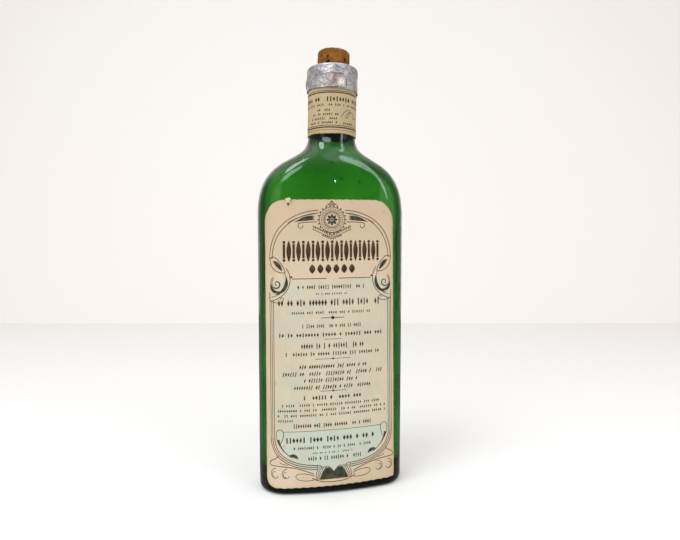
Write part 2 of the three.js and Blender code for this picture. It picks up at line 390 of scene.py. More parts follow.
def place_group(tree, which, values):
    """Places a shared group on the piece's own coordinates and returns what it puts out."""
    place = add(tree, "ShaderNodeTexCoord").outputs["Object"]
    return add(tree, "ShaderNodeGroup", {"Vector": place, **values}, node_tree=which).outputs[0]


def mottle(tree, scale, low, high):
    """A cloudy mask: empty where the noise is low, and full where it is high."""
    return place_group(tree, MOTTLE, {"Scale": scale, "Low": low, "High": high})


def tooth_bump(tree, shader, scale, strength, distance, roughness=0.6):
    """Gives the surface its fine tooth, this many metres high at the most."""
    height = place_group(tree, TOOTH, {"Scale": scale, "Roughness": roughness})
    bump = add(tree, "ShaderNodeBump", {
        "Strength": strength, "Distance": distance, "Height": height})
    tree.links.new(bump.outputs["Normal"], shader.inputs["Normal"])


print("shared groups:", MOTTLE.name, TOOTH.name)

# %% [markdown]
# ### Green glass
# The colour of bottle glass is in its thickness, not on its surface: thin edges are pale and the
# heavy foot is nearly black. A clear surface with an absorbing volume gives just that. Two
# values set it: how dense the glass is, and which colours it lets through. The last line prints
# how much of each colour is left after a millimetre.

# %% Green glass material
GLASS_LOSS = 880.0
GLASS_TINT = (0.24, 0.69, 0.04, 1.0)
GLASS_IOR = 1.5


def clear(name, roughness, index):
    """A finish that lets all light through."""
    return new_material(name, {
        "Base Color": (1, 1, 1, 1), "Roughness": roughness, "IOR": index, "Transmission Weight": 1.0})


def make_green_glass():
    material, tree, shader = clear("green_glass", 0.03, GLASS_IOR)
    volume = add(tree, "ShaderNodeVolumeAbsorption", {"Color": GLASS_TINT, "Density": GLASS_LOSS})
    tree.links.new(volume.outputs[0], tree.nodes["Material Output"].inputs["Volume"])
    tooth_bump(tree, shader, 45.0, 0.25, 0.0006, 0.4)
    return material


green_glass = make_green_glass()
# light leaves the glass where it meets the air of a bubble, so the index is the glass's, inverted
seed_air = clear("seed_air", 0.0, 1 / GLASS_IOR)[0]
print("glass keeps", [round(math.exp(-GLASS_LOSS * MM * (1 - c)), 2) for c in GLASS_TINT[:3]],
      "of red, green and blue after a millimetre")

# %% [markdown]
# ### Paper and ink
# Old uncoated paper is warm and uneven: browner towards its edges, spotted, with a fine tooth.
# The label also carries two printed tints, a pale one behind its rows and a grey-green one in the
# panel at its foot, and it is browner towards its top. The paper's points store how far each of these
# and the worn edge reach. The ink is matt, and thinner in places.

# %% Paper and ink materials
PAPER = screen(219, 199, 174)
PAPER_SHADE = screen(206, 182, 152)
PAPER_EDGE = screen(196, 168, 126)
PAPER_TINT = screen(206, 197, 173)
PANEL_TINT = screen(190, 201, 185)
TINT_WORN = screen(188, 188, 170)
PAPER_TOP_BROWN = screen(200, 176, 148)
SPOT = screen(186, 152, 116)


def printed_coats(tree, shade):
    """What only the label has: its browner top, its two tints, and the wear on them."""
    cool = add(tree, "ShaderNodeMath", {
        0: mottle(tree, 70.0, 0.42, 0.68), 1: stored(tree, "tint")}, operation="MULTIPLY")
    return [
        (stored(tree, "browner_top"), PAPER_TOP_BROWN),
        (stored(tree, "tint"), PAPER_TINT),
        (stored(tree, "panel"), PANEL_TINT),
        (mottle(tree, 45.0, 0.45, 0.85), shade),
        (cool.outputs[0], TINT_WORN),
    ]


def make_paper(name, light, shade, printed):
    material, tree, shader = new_material(name, {"Roughness": 0.82, "Specular IOR Level": 0.3})
    coats = [(mottle(tree, 28.0, 0.38, 0.68), shade)]
    if printed:
        coats += printed_coats(tree, shade)
    coats += [(stored(tree, "edge"), PAPER_EDGE), (mottle(tree, 190.0, 0.64, 0.74), SPOT)]
    coat(tree, shader, light, coats)
    tooth_bump(tree, shader, 1400.0, 0.35, 0.00008)
    return material


def make_ink(name, colour, faded):
    material, tree, shader = new_material(name, {"Roughness": 0.7, "Specular IOR Level": 0.25})
    coat(tree, shader, colour, [(mottle(tree, 420.0, 0.42, 0.75), faded)])
    tooth_bump(tree, shader, 1600.0, 0.3, 0.00005)
    return material


label_paper = make_paper("label_paper", PAPER, PAPER_SHADE, True)
band_paper = make_paper("band_paper", screen(192, 173, 141), screen(180, 154, 114), False)
brown_ink = make_ink("brown_ink", screen(62, 38, 18), screen(100, 70, 42))
green_ink = make_ink("green_ink", screen(46, 48, 34), screen(98, 96, 74))
line_ink = make_ink("line_ink", screen(74, 58, 40), screen(112, 94, 70))
print("materials so far:", [m.name for m in bpy.data.materials])

# %% [markdown]
# ### Foil and cork
# The capsule is lead-tin foil, soft and dull: grey with brighter patches, warm and brown where
# fingers have rubbed it, and dark with patina in its creases. A painted shadow darkens the rim of
# its lapped end, and a painted highlight lies on that end. Cork is a warm brown with darker grain
# and nearly black pits. The pits are real hollows in the mesh, and their depth is stored so that
# they can be dark inside. The foil's points store its creases and the painted shadow, its rubbed
# part and its painted highlight likewise.

# %% Foil and cork materials
def make_foil():
    material, tree, shader = new_material("tin_foil", {"Metallic": 0.7})
    coat(tree, shader, screen(164, 161, 166), [
        (mottle(tree, 170.0, 0.4, 0.62), screen(216, 212, 210)),
        (mottle(tree, 420.0, 0.55, 0.75), screen(122, 116, 116)),
        (stored(tree, "worn"), screen(168, 140, 128)),
        # a painted highlight on the lapped end
        (stored(tree, "painted_highlight"), screen(252, 236, 224)),
        # patina in the creases, and a painted shadow along the lap's rim
        (stored(tree, "patina_and_shadow"), screen(58, 51, 49)),
    ])
    rough = add(tree, "ShaderNodeMapRange", {
        "Value": mottle(tree, 260.0, 0.3, 0.7), "To Min": 0.34, "To Max": 0.56})
    tree.links.new(rough.outputs["Result"], shader.inputs["Roughness"])
    tooth_bump(tree, shader, 700.0, 0.5, 0.00012)
    return material


def make_cork():
    material, tree, shader = new_material("natural_cork", {
        "Roughness": 0.88, "Specular IOR Level": 0.25})
    coat(tree, shader, screen(149, 95, 36), [
        (mottle(tree, 240.0, 0.36, 0.66), screen(110, 64, 22)),
        (mottle(tree, 900.0, 0.56, 0.7), screen(96, 54, 24)),
        (stored(tree, "pit"), screen(34, 18, 9)),
    ])
    tooth_bump(tree, shader, 1500.0, 0.6, 0.00012)
    return material


tin_foil = make_foil()
natural_cork = make_cork()
print("and now also", tin_foil.name, "and", natural_cork.name)

# %% [markdown]
# ## The glass bottle
# The rings run from the middle of the foot up the outside, over the lip and down the inside, so
# the wall has its real thickness and light bends twice in it. Mouth-blown glass is never quite
# even: the outside keeps the mould's shape, while the inside is wavy, which makes the colour
# swim. Two fine seams at the sides show where the halves of the mould met, so extra points lie
# close to them.

# %% The bottle's rings
FOOT_RECESS = 0.8
FOOT_WIDTH = 5.0
HEEL = 2.6
FLOOR = 6.5
FLOOR_FILLET = 6.0
RECESS_INSETS = (13, 10.4)
LIP_RADIUS = 12.3
LIP_UNDERSIDE_Z = 198.6
LIP_TOP_Z = 209.7
LIP_ROUNDING = 1.2
LIP_BEVEL = 1.4
MOUTH_RADIUS = 8.6
MOUTH_ROUNDING = 0.5
BORE_Z = 194.0
SEAM_HEIGHT = 0.14
SEAM_WIDTH = 0.45


def arc(centre, radius, first, last, steps):
    """Points on an arc, from the first angle to the last, in degrees."""
    angle = np.radians(np.linspace(first, last, steps + 1))
    return np.asarray(centre) + radius * on_circle(angle)


def inset_rings(line):
    """Rings drawn in from the body's outline: each point is (how far in, height)."""
    rings = []
    for inwards, z in line:
        scale = body_scale(z)
        rings.append((BODY_HALF_WIDTH * scale - inwards, BODY_HALF_DEPTH * scale - inwards, z))
    return rings


def round_rings(line):
    """Rings of the neck and lip: each point is (radius, height)."""
    return [(radius, radius, z) for radius, z in line]


def bottle_rings():
    outside = shoulder_line(0, NECK_RADIUS, 26)
    inside = shoulder_line(WALL, BORE_RADIUS, 24)[::-1]
    body = [(0, z) for z in np.linspace(HEEL, SHOULDER_START_Z, 56)[1:-1]]
    cavity = [(WALL, z) for z in np.linspace(SHOULDER_START_Z, FLOOR + FLOOR_FILLET, 50)[1:-1]]
    foot = [(HEEL + FOOT_WIDTH + step * FOOT_RECESS, FOOT_RECESS * step / 2) for step in (2, 1, 0)]
    rings = inset_rings([(inset, FOOT_RECESS) for inset in RECESS_INSETS] + foot)
    rings += inset_rings(arc((HEEL, HEEL), HEEL, -90, -180, 6)) + inset_rings(body)
    rings += [(a, float(shoulder_depth(a, 0, NECK_RADIUS)), z) for a, z in outside]
    neck = [(NECK_RADIUS, z) for z in np.linspace(NECK_START_Z, LIP_UNDERSIDE_Z, 8)[1:]]
    lip = [(LIP_RADIUS, LIP_UNDERSIDE_Z + LIP_BEVEL)]
    for radius, rounding, first, steps in (
            (LIP_RADIUS - LIP_ROUNDING, LIP_ROUNDING, 0, 5),
            (MOUTH_RADIUS + MOUTH_ROUNDING, MOUTH_ROUNDING, 90, 3)):
        lip += arc((radius, LIP_TOP_Z - rounding), rounding, first, first + 90, steps).tolist()
    rings += round_rings(neck + lip + [(BORE_RADIUS, BORE_Z)])
    rings += [(a, float(shoulder_depth(a, WALL, BORE_RADIUS)), z) for a, z in inside]
    rings += inset_rings(cavity)
    rings += inset_rings(arc((WALL + FLOOR_FILLET, FLOOR + FLOOR_FILLET), FLOOR_FILLET, -180, -90, 6))
    return rings


ring_list = bottle_rings()
print(len(ring_list), "rings from foot to lip and back down the inside")

# %% Join the rings
SEAM_TURNS = (-1.6, -0.8, 0.8, 1.6)


def seam_turns():
    """Even turns, with extra ones close to both mould seams."""
    even = even_turns(144)
    near = np.radians([side + step for side in (90, 270) for step in SEAM_TURNS])
    return np.sort(np.concatenate([even, near]))


turns = seam_turns()
rings = np.array([
    np.column_stack([oval_ring(a, b, turns), np.full(len(turns), z)]) for a, b, z in ring_list])
ring_count, ring_points = rings.shape[:2]
poles = ((0, 0, FOOT_RECESS), (0, 0, FLOOR))
bottle_glass = new_piece(
    "bottle_glass", lean(np.vstack([rings.reshape(-1, 3), *poles])),
    ring_faces(ring_count, ring_points, False) + pole_faces(ring_count, ring_points), green_glass)

# %% Make the wall uneven
OUTSIDE_WAVE = 0.05
INSIDE_WAVE = 0.55
INSIDE_RIPPLE = 0.12
FADE_UNDER_NECK = 14
FADE_FROM = 3
FADE_OVER_FOOT = 6
SEAM_FROM_X = 5


def wave_glass(piece):
    """Moves points along their normals: little outside, more inside, a ridge at the seams."""
    inside_from = next(i for i, ring in enumerate(ring_list) if ring[0] == BORE_RADIUS)
    moves = []
    for index, vertex in enumerate(piece.data.vertices):
        x, y, z = vertex.co / MM
        place = Vector((x, y, z))
        inside = index // ring_points >= inside_from
        fade = min(1.0, max(0.0, (NECK_START_Z - z) / FADE_UNDER_NECK))
        fade *= min(1.0, max(0.0, (z - FADE_FROM) / FADE_OVER_FOOT))
        size = INSIDE_WAVE if inside else OUTSIDE_WAVE
        amount = size * fade * noise.noise(place * (0.055 if inside else 0.04))
        if inside:
            amount += INSIDE_RIPPLE * fade * noise.noise(place * 0.16 + Vector((9, 2, 5)))
        elif abs(y) < SEAM_WIDTH * 2 and HEEL < z < NECK_START_Z and abs(x) > SEAM_FROM_X:
            amount += SEAM_HEIGHT * math.exp(-(y / SEAM_WIDTH) ** 2) * fade
        moves.append(vertex.normal * amount * MM)
    for vertex, move in zip(piece.data.vertices, moves):
        vertex.co += move


wave_glass(bottle_glass)
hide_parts("glass_bottle")
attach(bottle_glass, "bottle")

# %% [markdown]
# Hand-blown glass holds seeds, small bubbles of air drawn out upwards as the glass was blown. A
# Geometry Nodes tree puts a stretched little ball on every point that it is given, each with its
# own size. The points lie inside the wall: most are scattered with a fixed seed, and a few large
# ones sit high on the front.

# %% Geometry Nodes helpers
def node_tree(name, floats=(), whole=()):
    """A new Geometry Nodes tree, with named inputs for its sizes, counts and seed."""
    tree = bpy.data.node_groups.new(name, "GeometryNodeTree")
    tree.interface.new_socket("Geometry", in_out="INPUT", socket_type="NodeSocketGeometry")
    for socket, value in floats:
        made = tree.interface.new_socket(socket, in_out="INPUT", socket_type="NodeSocketFloat")
        made.default_value = value
    for socket in whole:
        tree.interface.new_socket(socket, in_out="INPUT", socket_type="NodeSocketInt")
    tree.interface.new_socket("Material", in_out="INPUT", socket_type="NodeSocketMaterial")
    tree.interface.new_socket("Geometry", in_out="OUTPUT", socket_type="NodeSocketGeometry")
    return tree, add(tree, "NodeGroupInput").outputs, add(tree, "NodeGroupOutput")


def finish_tree(tree, copies, material, result):
    real = add(tree, "GeometryNodeRealizeInstances", {"Geometry": copies.outputs[0]})
    coated = add(tree, "GeometryNodeSetMaterial", {"Geometry": real.outputs[0], "Material": material})
    tree.links.new(coated.outputs[0], result.inputs[0])


def grow(tree, values, seedling=None):
    """Runs a Geometry Nodes tree once and returns its points and faces."""
    holder = bpy.data.objects.new("seedling", seedling or bpy.data.meshes.new("seedling"))
    bpy.context.scene.collection.objects.link(holder)
    modifier = holder.modifiers.new("grow", "NODES")
    modifier.node_group = tree
    for item in tree.interface.items_tree:
        if item.in_out == "INPUT" and item.name in values:
            modifier[item.identifier] = values[item.name]
    ready = holder.evaluated_get(bpy.context.evaluated_depsgraph_get())
    grown = bpy.data.meshes.new_from_object(ready)
    points = np.array([v.co for v in grown.vertices]).reshape(-1, 3)
    faces = [list(p.vertices) for p in grown.polygons]
    holder.modifiers.remove(modifier)
    bpy.data.objects.remove(holder)
    bpy.data.meshes.remove(grown)
    return points, faces


# %% Grow the seeds
SMALL_SEEDS = {"Small": 0.10, "Large": 0.30, "Seed": 3}
BIG_SEEDS = {"Small": 0.4, "Large": 0.7, "Seed": 4}
SEED_STRETCH = 1.5
SEED_DEPTH = 1.4
SEED_COUNT = 60
# distance round the skin from the middle of the front, and height, of the large ones
BIG_PLACES = ((-1.8, 151.6), (-2.5, 149.2), (1.6, 152.4), (3.0, 152.8), (11.0, 151.4), (-2.6, 160.5))


def build_seed_tree():
    tree, given, result = node_tree("glass_seeds", (("Small", 0.1), ("Large", 0.3)), ("Seed",))
    ball = add(tree, "GeometryNodeMeshIcoSphere", {"Radius": 1.0, "Subdivisions": 2})
    size = add(tree, "FunctionNodeRandomValue", {
        2: given["Small"], 3: given["Large"], "Seed": given["Seed"]}, data_type="FLOAT")
    tall = add(tree, "ShaderNodeMath", {0: size.outputs[1], 1: SEED_STRETCH}, operation="MULTIPLY")
    scale = add(tree, "ShaderNodeCombineXYZ", {
        "X": size.outputs[1], "Y": size.outputs[1], "Z": tall.outputs[0]})
    copies = add(tree, "GeometryNodeInstanceOnPoints", {
        "Points": given["Geometry"], "Instance": ball.outputs[0], "Scale": scale.outputs[0]})
    finish_tree(tree, copies, given["Material"], result)
    return tree


def seed_bed(name, places):
    """A mesh of loose points in the middle of the wall, where seeds will grow."""
    around, z = np.array(places, float).T
    bed = bpy.data.meshes.new(name)
    bed.from_pydata(skin_points(around, z, -SEED_DEPTH).tolist(), [], [])
    return bed


def make_seeds():
    tree = build_seed_tree()
    chance = np.random.default_rng(11)
    strewn = np.column_stack([
        chance.uniform(-38, 38, SEED_COUNT), chance.uniform(20, 158, SEED_COUNT)])
    points, faces = np.zeros((0, 3)), []
    for name, places, sizes in (("strewn", strewn, SMALL_SEEDS), ("big", BIG_PLACES, BIG_SEEDS)):
        grown, joined = grow(tree, {**sizes, "Material": seed_air}, seed_bed(name, places))
        faces += [[i + len(points) for i in face] for face in joined]
        points = np.vstack([points, grown])
    return new_piece("glass_seeds", points, faces, seed_air)


glass_seeds = make_seeds()
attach(glass_seeds, "bottle")

# %% [markdown]
# ## The label
# The paper is laid out flat first, as the printer had it: x across from the middle of the sheet
# and up from its bottom edge. One function pastes flat points on the glass, so the paper and
# everything printed on it stay together, down to the cockles that the paste left.

# %% Pasting flat points on the front
LABEL_LEFT = -35.9
LABEL_RIGHT = 29.3
LABEL_BOTTOM_Z = 4.0
LABEL_HEIGHT = 138.4
LABEL_TILT = 0.015
LABEL_HALF = (LABEL_RIGHT - LABEL_LEFT) / 2
LABEL_MIDDLE = (LABEL_LEFT + LABEL_RIGHT) / 2
LABEL_SKEW = 0.006
PASTE = 0.16
PAPER_THICKNESS = 0.14
NICK = (-20.4, 138.2)


def cockle(x, up):
    """Gentle waves that the paste left, together less than a tenth of a millimetre deep."""
    waves = 0.045 * np.sin(0.21 * x + 0.09 * up + 1.1) * np.sin(0.07 * up + 0.5)
    waves += 0.03 * np.sin(0.52 * x - 0.31 * up) + 0.02 * np.sin(0.9 * x + 0.66 * up + 2.0)
    return waves


def nick_lift(x, up):
    """The torn corner of the nick stands off the glass."""
    away = np.hypot((x - NICK[0] - 1.4) / 1.5, (up - NICK[1]) / 2.2)
    return 0.9 * np.exp(-away ** 2 * 2)


def paste_on_front(x, up, lift):
    """Turns the flat sheet a little, as it was pasted, and lays it on the skin."""
    turn_c, turn_s = math.cos(LABEL_TILT), math.sin(LABEL_TILT)
    high = up - LABEL_HEIGHT / 2
    around = LABEL_MIDDLE + x * turn_c + high * (LABEL_SKEW - turn_s)
    z = LABEL_BOTTOM_Z + LABEL_HEIGHT / 2 + x * turn_s + high * turn_c
    return skin_points(around, z, PASTE + lift + cockle(x, up) + nick_lift(x, up))


# %% The paper of the label
CORNERS = {"top_left": 10.8, "top_right": 10.8, "bottom_left": 5.0, "bottom_right": 1.2}
PRINT_MIDDLE = 0.65
TINT_TOP = 100.0
PANEL_TOP = 27.0
PANEL_HALF = 27.6
PANEL_DEPTH = 20.5
TINT_HALF = 29.2
BROWN_TOP_FROM = 96
BROWN_TOP_OVER = 34
CROWD = 11
NOTCH_DEEP = 3.3
NOTCH_HALF = 0.85


def corner_inset(up, bottom, top):
    """How far a side draws in near its rounded corners."""
    below = np.clip(bottom - up, 0, bottom)
    above = np.clip(up - (LABEL_HEIGHT - top), 0, top)
    return bottom - np.sqrt(bottom ** 2 - below ** 2) + top - np.sqrt(top ** 2 - above ** 2)


def eased_rows():
    """Rows that crowd together at the rounded corners."""
    ends = CROWD * (1 - np.cos(np.linspace(0, math.pi / 2, 22)))
    middle = np.linspace(CROWD, LABEL_HEIGHT - CROWD, 150)[1:-1]
    return np.concatenate([ends, middle, (LABEL_HEIGHT - ends)[::-1]])


def panel_bottom(x):
    """Lower edge of the tinted panel: a wide U."""
    share = np.clip(np.abs(x - PRINT_MIDDLE) / PANEL_HALF, 0, 1)
    return PANEL_TOP - PANEL_DEPTH * (1 - share ** 2.6) ** 0.55


def make_label_paper():
    """The sheet with its rounded corners, ragged rim and notch, and what its material reads."""
    ups, shares = eased_rows(), np.linspace(0, 1, 121)
    left = -LABEL_HALF + corner_inset(ups, CORNERS["bottom_left"], CORNERS["top_left"])
    right = LABEL_HALF - corner_inset(ups, CORNERS["bottom_right"], CORNERS["top_right"])
    x = left[:, None] + (right - left)[:, None] * shares
    up = np.repeat(ups[:, None], len(shares), axis=1)
    rim = np.minimum.reduce([x - left[:, None], right[:, None] - x, up, LABEL_HEIGHT - up])
    rag = 0.12 * np.sin(x * 1.7 + 0.4) + 0.1 * np.sin(up * 1.3)
    near_top = np.exp(-(LABEL_HEIGHT - up) / 2.0)
    notch = NOTCH_DEEP * np.exp(-((x - NICK[0]) / NOTCH_HALF) ** 2) * near_top
    up = up + rag * np.exp(-rim / 0.6) - notch
    piece = new_sheet("label_sheet", paste_on_front, x, up, PAPER_THICKNESS, 0, label_paper)
    inner = np.clip((TINT_HALF - np.abs(x - PRINT_MIDDLE)) / 0.6, 0, 1)
    reached = {
        "tint": 0.75 * inner * (up < TINT_TOP) * (up > PANEL_TOP),
        "panel": 0.85 * inner * (up < PANEL_TOP) * (up > panel_bottom(x)),
        "edge": 0.55 * np.exp(-rim / 0.5) + 0.12 * np.exp(-rim / 4),
        "browner_top": np.clip((up - BROWN_TOP_FROM) / BROWN_TOP_OVER, 0, 1),
    }
    for name, values in reached.items():
        store(piece, name, np.tile(values.ravel(), 2))
    return piece


# %% The torn flap
FLAP_LOW = 1.7
FLAP_LONG = 2.3
FLAP_CURL = 0.5


def make_flap():
    """The tongue torn out of the nick, bent up over the label's edge and curled off the glass."""
    across, along = np.meshgrid(np.linspace(-1, 1, 13), np.linspace(0, 1, 15))
    x = NICK[0] + across * (0.7 + 0.75 * along)
    up = LABEL_HEIGHT - FLAP_LOW + FLAP_LONG * along + 0.2 * np.sin(across * 3 + 1)
    curl = 0.12 + FLAP_CURL * np.sin(along * 2.2) + 0.25 * across * along
    return new_sheet("label_flap", paste_on_front, x, up, PAPER_THICKNESS + curl, curl, label_paper)


label_flap = make_flap()
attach(label_flap, "bottle")
label_sheet = make_label_paper()
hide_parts("front_label")
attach(label_sheet, "bottle")

# %% [markdown]
# ## The printing
# Ink sits in and a hair above the paper. Each line is a thin closed ribbon that follows a path on
# the flat sheet, and it is pasted on the glass by the same function as the paper. The drawing is
# a plain frame of my own: a border with an arch, a rosette, side scrolls and a fan. No words are
# printed, so rows of lozenges and ticks stand where text would be. The numbers in the drawing are
# millimetres on the flat sheet: across from the middle of the print, and up from the bottom edge.

# %% Ribbons of ink
INK_SINK = -0.03
INK_RISE = 0.03


class Plate:
    """Collects flat ink shapes, as (x, up, lift) points and their faces."""

    def __init__(self):
        self.points = []
        self.faces = []
        self.count = 0

    def put(self, points, faces):
        """Adds a shape to the plate."""
        self.points.append(np.asarray(points, float))
        self.faces += [[i + self.count for i in face] for face in faces]
        self.count += len(points)

    def line(self, path, width, closed=False):
        """A ribbon along a path. The width is one number, or one for each point."""
        path = np.asarray(path, float)
        step = np.roll(path, -1, 0) - np.roll(path, 1, 0) if closed else np.gradient(path, axis=0)
        step /= np.maximum(np.linalg.norm(step, axis=1), 1e-9)[:, None]
        half = np.broadcast_to(width, len(path))[:, None] / 2
        side = np.stack([-step[:, 1], step[:, 0]], axis=1) * half
        sections = np.zeros((len(path), 4, 3))
        corners = ((1, INK_SINK), (-1, INK_SINK), (-1, INK_RISE), (1, INK_RISE))
        for corner, (sign, lift) in enumerate(corners):
            sections[:, corner, :2] = path + sign * side
            sections[:, corner, 2] = lift
        faces = ring_faces(len(path), 4, closed)
        if not closed:
            last = 4 * (len(path) - 1)
            faces += [[3, 2, 1, 0], [last, last + 1, last + 2, last + 3]]
        self.put(sections.reshape(-1, 3), faces)

    def both(self, path, width):
        """The ribbon and its mirror image about the middle of the print."""
        for side in (1, -1):
            self.line(np.asarray(path, float) * (side, 1) + (PRINT_MIDDLE, 0), width)

    def pen(self, width, *corners, steps=40):
        """A smooth stroke through Bezier pulls, drawn on both sides of the middle."""
        self.both(curve(*corners, steps=steps), width)

    def across(self, half, up, width, middle=PRINT_MIDDLE, steps=40):
        """A level rule, as long on one side of its middle as on the other."""
        self.line(level(-half, half, up, steps) + (middle, 0), width)

    def ring(self, centre, radius, width, steps=48):
        """A circle drawn as a closed ribbon."""
        around = on_circle(even_turns(steps)) * radius
        self.line(np.asarray(centre) + around, width, closed=True)

    def dot(self, centre, radius):
        """A filled disc, made of a short path as wide as it is long."""
        share = np.linspace(-0.98, 0.98, 7)
        path = np.stack([centre[0] + share * radius, np.full(7, centre[1])], axis=1)
        self.line(path, 2 * radius * np.sqrt(1 - share ** 2))

    def piece(self, name, paste, material):
        """Pastes everything on the plate and makes one piece of it."""
        flat = np.vstack(self.points)
        return new_piece(name, paste(flat[:, 0], flat[:, 1], flat[:, 2]), self.faces, material)


def swell(steps, most, least=0.06, lean_to=1.0):
    """Widths that grow from a point to the most and back, as a pen's stroke does."""
    share = np.linspace(0, 1, steps + 1) ** lean_to
    return least + (most - least) * np.sin(math.pi * share)


def spiral(centre, first_radius, last_radius, first_angle, turns, steps=40):
    """A curl that winds from one radius to another. Fewer than no turns go clockwise."""
    share = np.linspace(0, 1, steps + 1)
    angle = math.radians(first_angle) + share * turns * 2 * math.pi
    radius = first_radius * (last_radius / first_radius) ** share
    return np.asarray(centre) + on_circle(angle) * radius[:, None]


def curve(*corners, steps=40):
    """One smooth pen stroke through several Bezier pulls: start, pull, pull, end, pull, ..."""
    parts = [bezier(*corners[i:i + 4], steps) for i in range(0, len(corners) - 1, 3)]
    return np.vstack([parts[0]] + [part[1:] for part in parts[1:]])


# %% Border and arch
LINE = 0.36
THIN = 0.28
BORDER_X = 30.4
BORDER_GAPS = (0.0, 0.95, 1.9)
ARCH_GAPS = (0.0, 1.35)


def draw_border(plate):
    """Three lines up each side that meet in a bowl below, and two lines that arch over the top."""
    for gap in BORDER_GAPS:
        x = BORDER_X - gap
        plate.both(plumb(x, 24, 90, 90), THIN)
        plate.pen(LINE, (x, 24), (x - 0.4, 14 + gap), (21, 9 + gap), (7.8, 8.4 + gap), steps=70)
    for gap in ARCH_GAPS:
        x = BORDER_X - gap
        plate.pen(LINE, (x, 110), (x, 123 - gap), (22 - gap, 132.2 - gap), (6.6, 133.2 - gap),
                  steps=80)


frame_plate = Plate()
leaf_plate = Plate()
draw_border(frame_plate)
print("the border has", frame_plate.count, "points")

# %% Side scrolls and wings
def draw_scrolls(plate, fills):
    """The knot on each side: a bud above, a curl in the middle and a crescent below."""
    bud = ((30.2, 110), (28.5, 113), (24.4, 108.6), (22.6, 103.6), (24.5, 102.4), (30.6, 104.6),
           (30.2, 110))
    crescent = ((22.4, 105.6), (18.4, 101), (20.2, 92.0), (29.6, 89.8), (30.6, 89.6), (30.8, 91.8),
                (30.4, 94))
    inner = ((23.2, 103.2), (20.6, 98.4), (22.6, 92.8), (29.8, 91.6))
    tail = ((30.4, 90), (27.6, 88.6), (24.2, 88.4), (23.6, 90.4), (23.4, 91.6), (25.2, 91.8),
            (25.2, 90.4))
    for width, corners, steps in (
            (LINE, bud, 40), (LINE, crescent, 50), (THIN, inner, 50), (THIN, tail, 24)):
        plate.pen(width, *corners, steps=steps)
    plate.both(spiral((26.8, 98.0), 3.8, 0.6, 62, -1.45, 70), LINE)
    plate.both(spiral((26.8, 98.0), 3.0, 0.8, 62, -1.1, 60), THIN)
    fills.pen(swell(24, 2.0), (28.8, 108.8), (27.2, 108.8), (25.2, 106), (24.0, 104.0), steps=24)
    fills.pen(swell(40, 1.7, lean_to=0.8), (22.4, 101.6), (21.2, 97), (23.6, 93.6), (28.0, 92.8))
    fills.pen(swell(40, 1.5), (30.0, 98.6), (30.2, 94.8), (27.4, 93.2), (24.8, 94.6))


def draw_wings(plate, fills):
    """Feathers beside the rosette, lying under the arch, each with a curled stem below."""
    plate.pen(LINE, (7.2, 127.6), (10.4, 127.4), (14.4, 127.6), (16.4, 126.8))
    plate.both(spiral((14.9, 125.7), 1.7, 0.7, 48, -0.72, 30), LINE)
    plate.pen(THIN, (8.0, 131.4), (13.0, 131.0), (17.4, 129.6), (21.4, 127.2))
    for step in range(3):
        fills.pen(swell(40, 0.95, lean_to=0.7), (8.4, 128.8 + step * 0.75),
                  (11.6, 128.8 + step * 0.7), (15, 128.4 + step * 0.5),
                  (18.4 - step, 127.6 + step * 0.4))


draw_scrolls(frame_plate, leaf_plate)
draw_wings(frame_plate, leaf_plate)
print("and", frame_plate.count, "with the scrolls and wings")

# %% [markdown]
# ### What repeats
# Geometry Nodes grow what repeats: the beads round the rosette and the small shapes in the rows
# of ornament. Each tree is small. A line or circle gives the places, copies of a little shape
# stand on them, and the tree ends in Realize Instances and Set Material. The result is read back
# as plain points, so that it can be pasted on the glass like the rest of the ink.

# %% Beads round the rosette
INK_DEPTH = INK_RISE - INK_SINK


def build_bead_tree():
    tree, given, result = node_tree("ring_of_beads", (("Radius", 5.0), ("Bead", 0.4)), ("Count",))
    ring = add(tree, "GeometryNodeMeshCircle", {"Vertices": given["Count"], "Radius": given["Radius"]})
    bead = add(tree, "GeometryNodeMeshCylinder", {
        "Vertices": 10, "Radius": given["Bead"], "Depth": INK_DEPTH})
    copies = add(tree, "GeometryNodeInstanceOnPoints", {
        "Points": ring.outputs[0], "Instance": bead.outputs[0]})
    finish_tree(tree, copies, given["Material"], result)
    return tree


BEAD_TREE = build_bead_tree()
ROSETTE = (PRINT_MIDDLE, 128.6)


def bead_ring(plate, centre, radius, bead, count):
    points, faces = grow(BEAD_TREE, {
        "Radius": radius, "Bead": bead, "Count": count, "Material": brown_ink})
    flat = points + (centre[0], centre[1], (INK_SINK + INK_RISE) / 2)
    plate.put(flat, faces)


def draw_rosette(plate, fills):
    """Rings and beads round an eight-petalled flower, with a small plume on top."""
    for radius, width in ((6.1, 0.34), (5.2, 0.22), (3.9, 0.4), (3.3, 0.2)):
        plate.ring(ROSETTE, radius, width)
    for radius, bead, count in ((4.55, 0.26, 26), (6.75, 0.42, 22)):
        bead_ring(plate, ROSETTE, radius, bead, count)
    for petal in range(8):
        angle = math.radians(45 * petal)
        away = np.array([math.cos(angle), math.sin(angle)])
        path = np.asarray(ROSETTE) + np.linspace(0.6, 2.9, 12)[:, None] * away
        fills.line(path, swell(11, 1.25))
    plate.dot(ROSETTE, 0.5)
    for reach, above in ((2.6, 6.9), (1.7, 7.5), (0.8, 8.2)):
        up = ROSETTE[1] + above
        plate.pen(0.3, (0, up), (reach * 0.5, up + 0.9), (reach, up + 0.5), (reach, up - 0.5),
                  steps=14)
    plate.dot((ROSETTE[0], ROSETTE[1] + 8.9), 0.42)


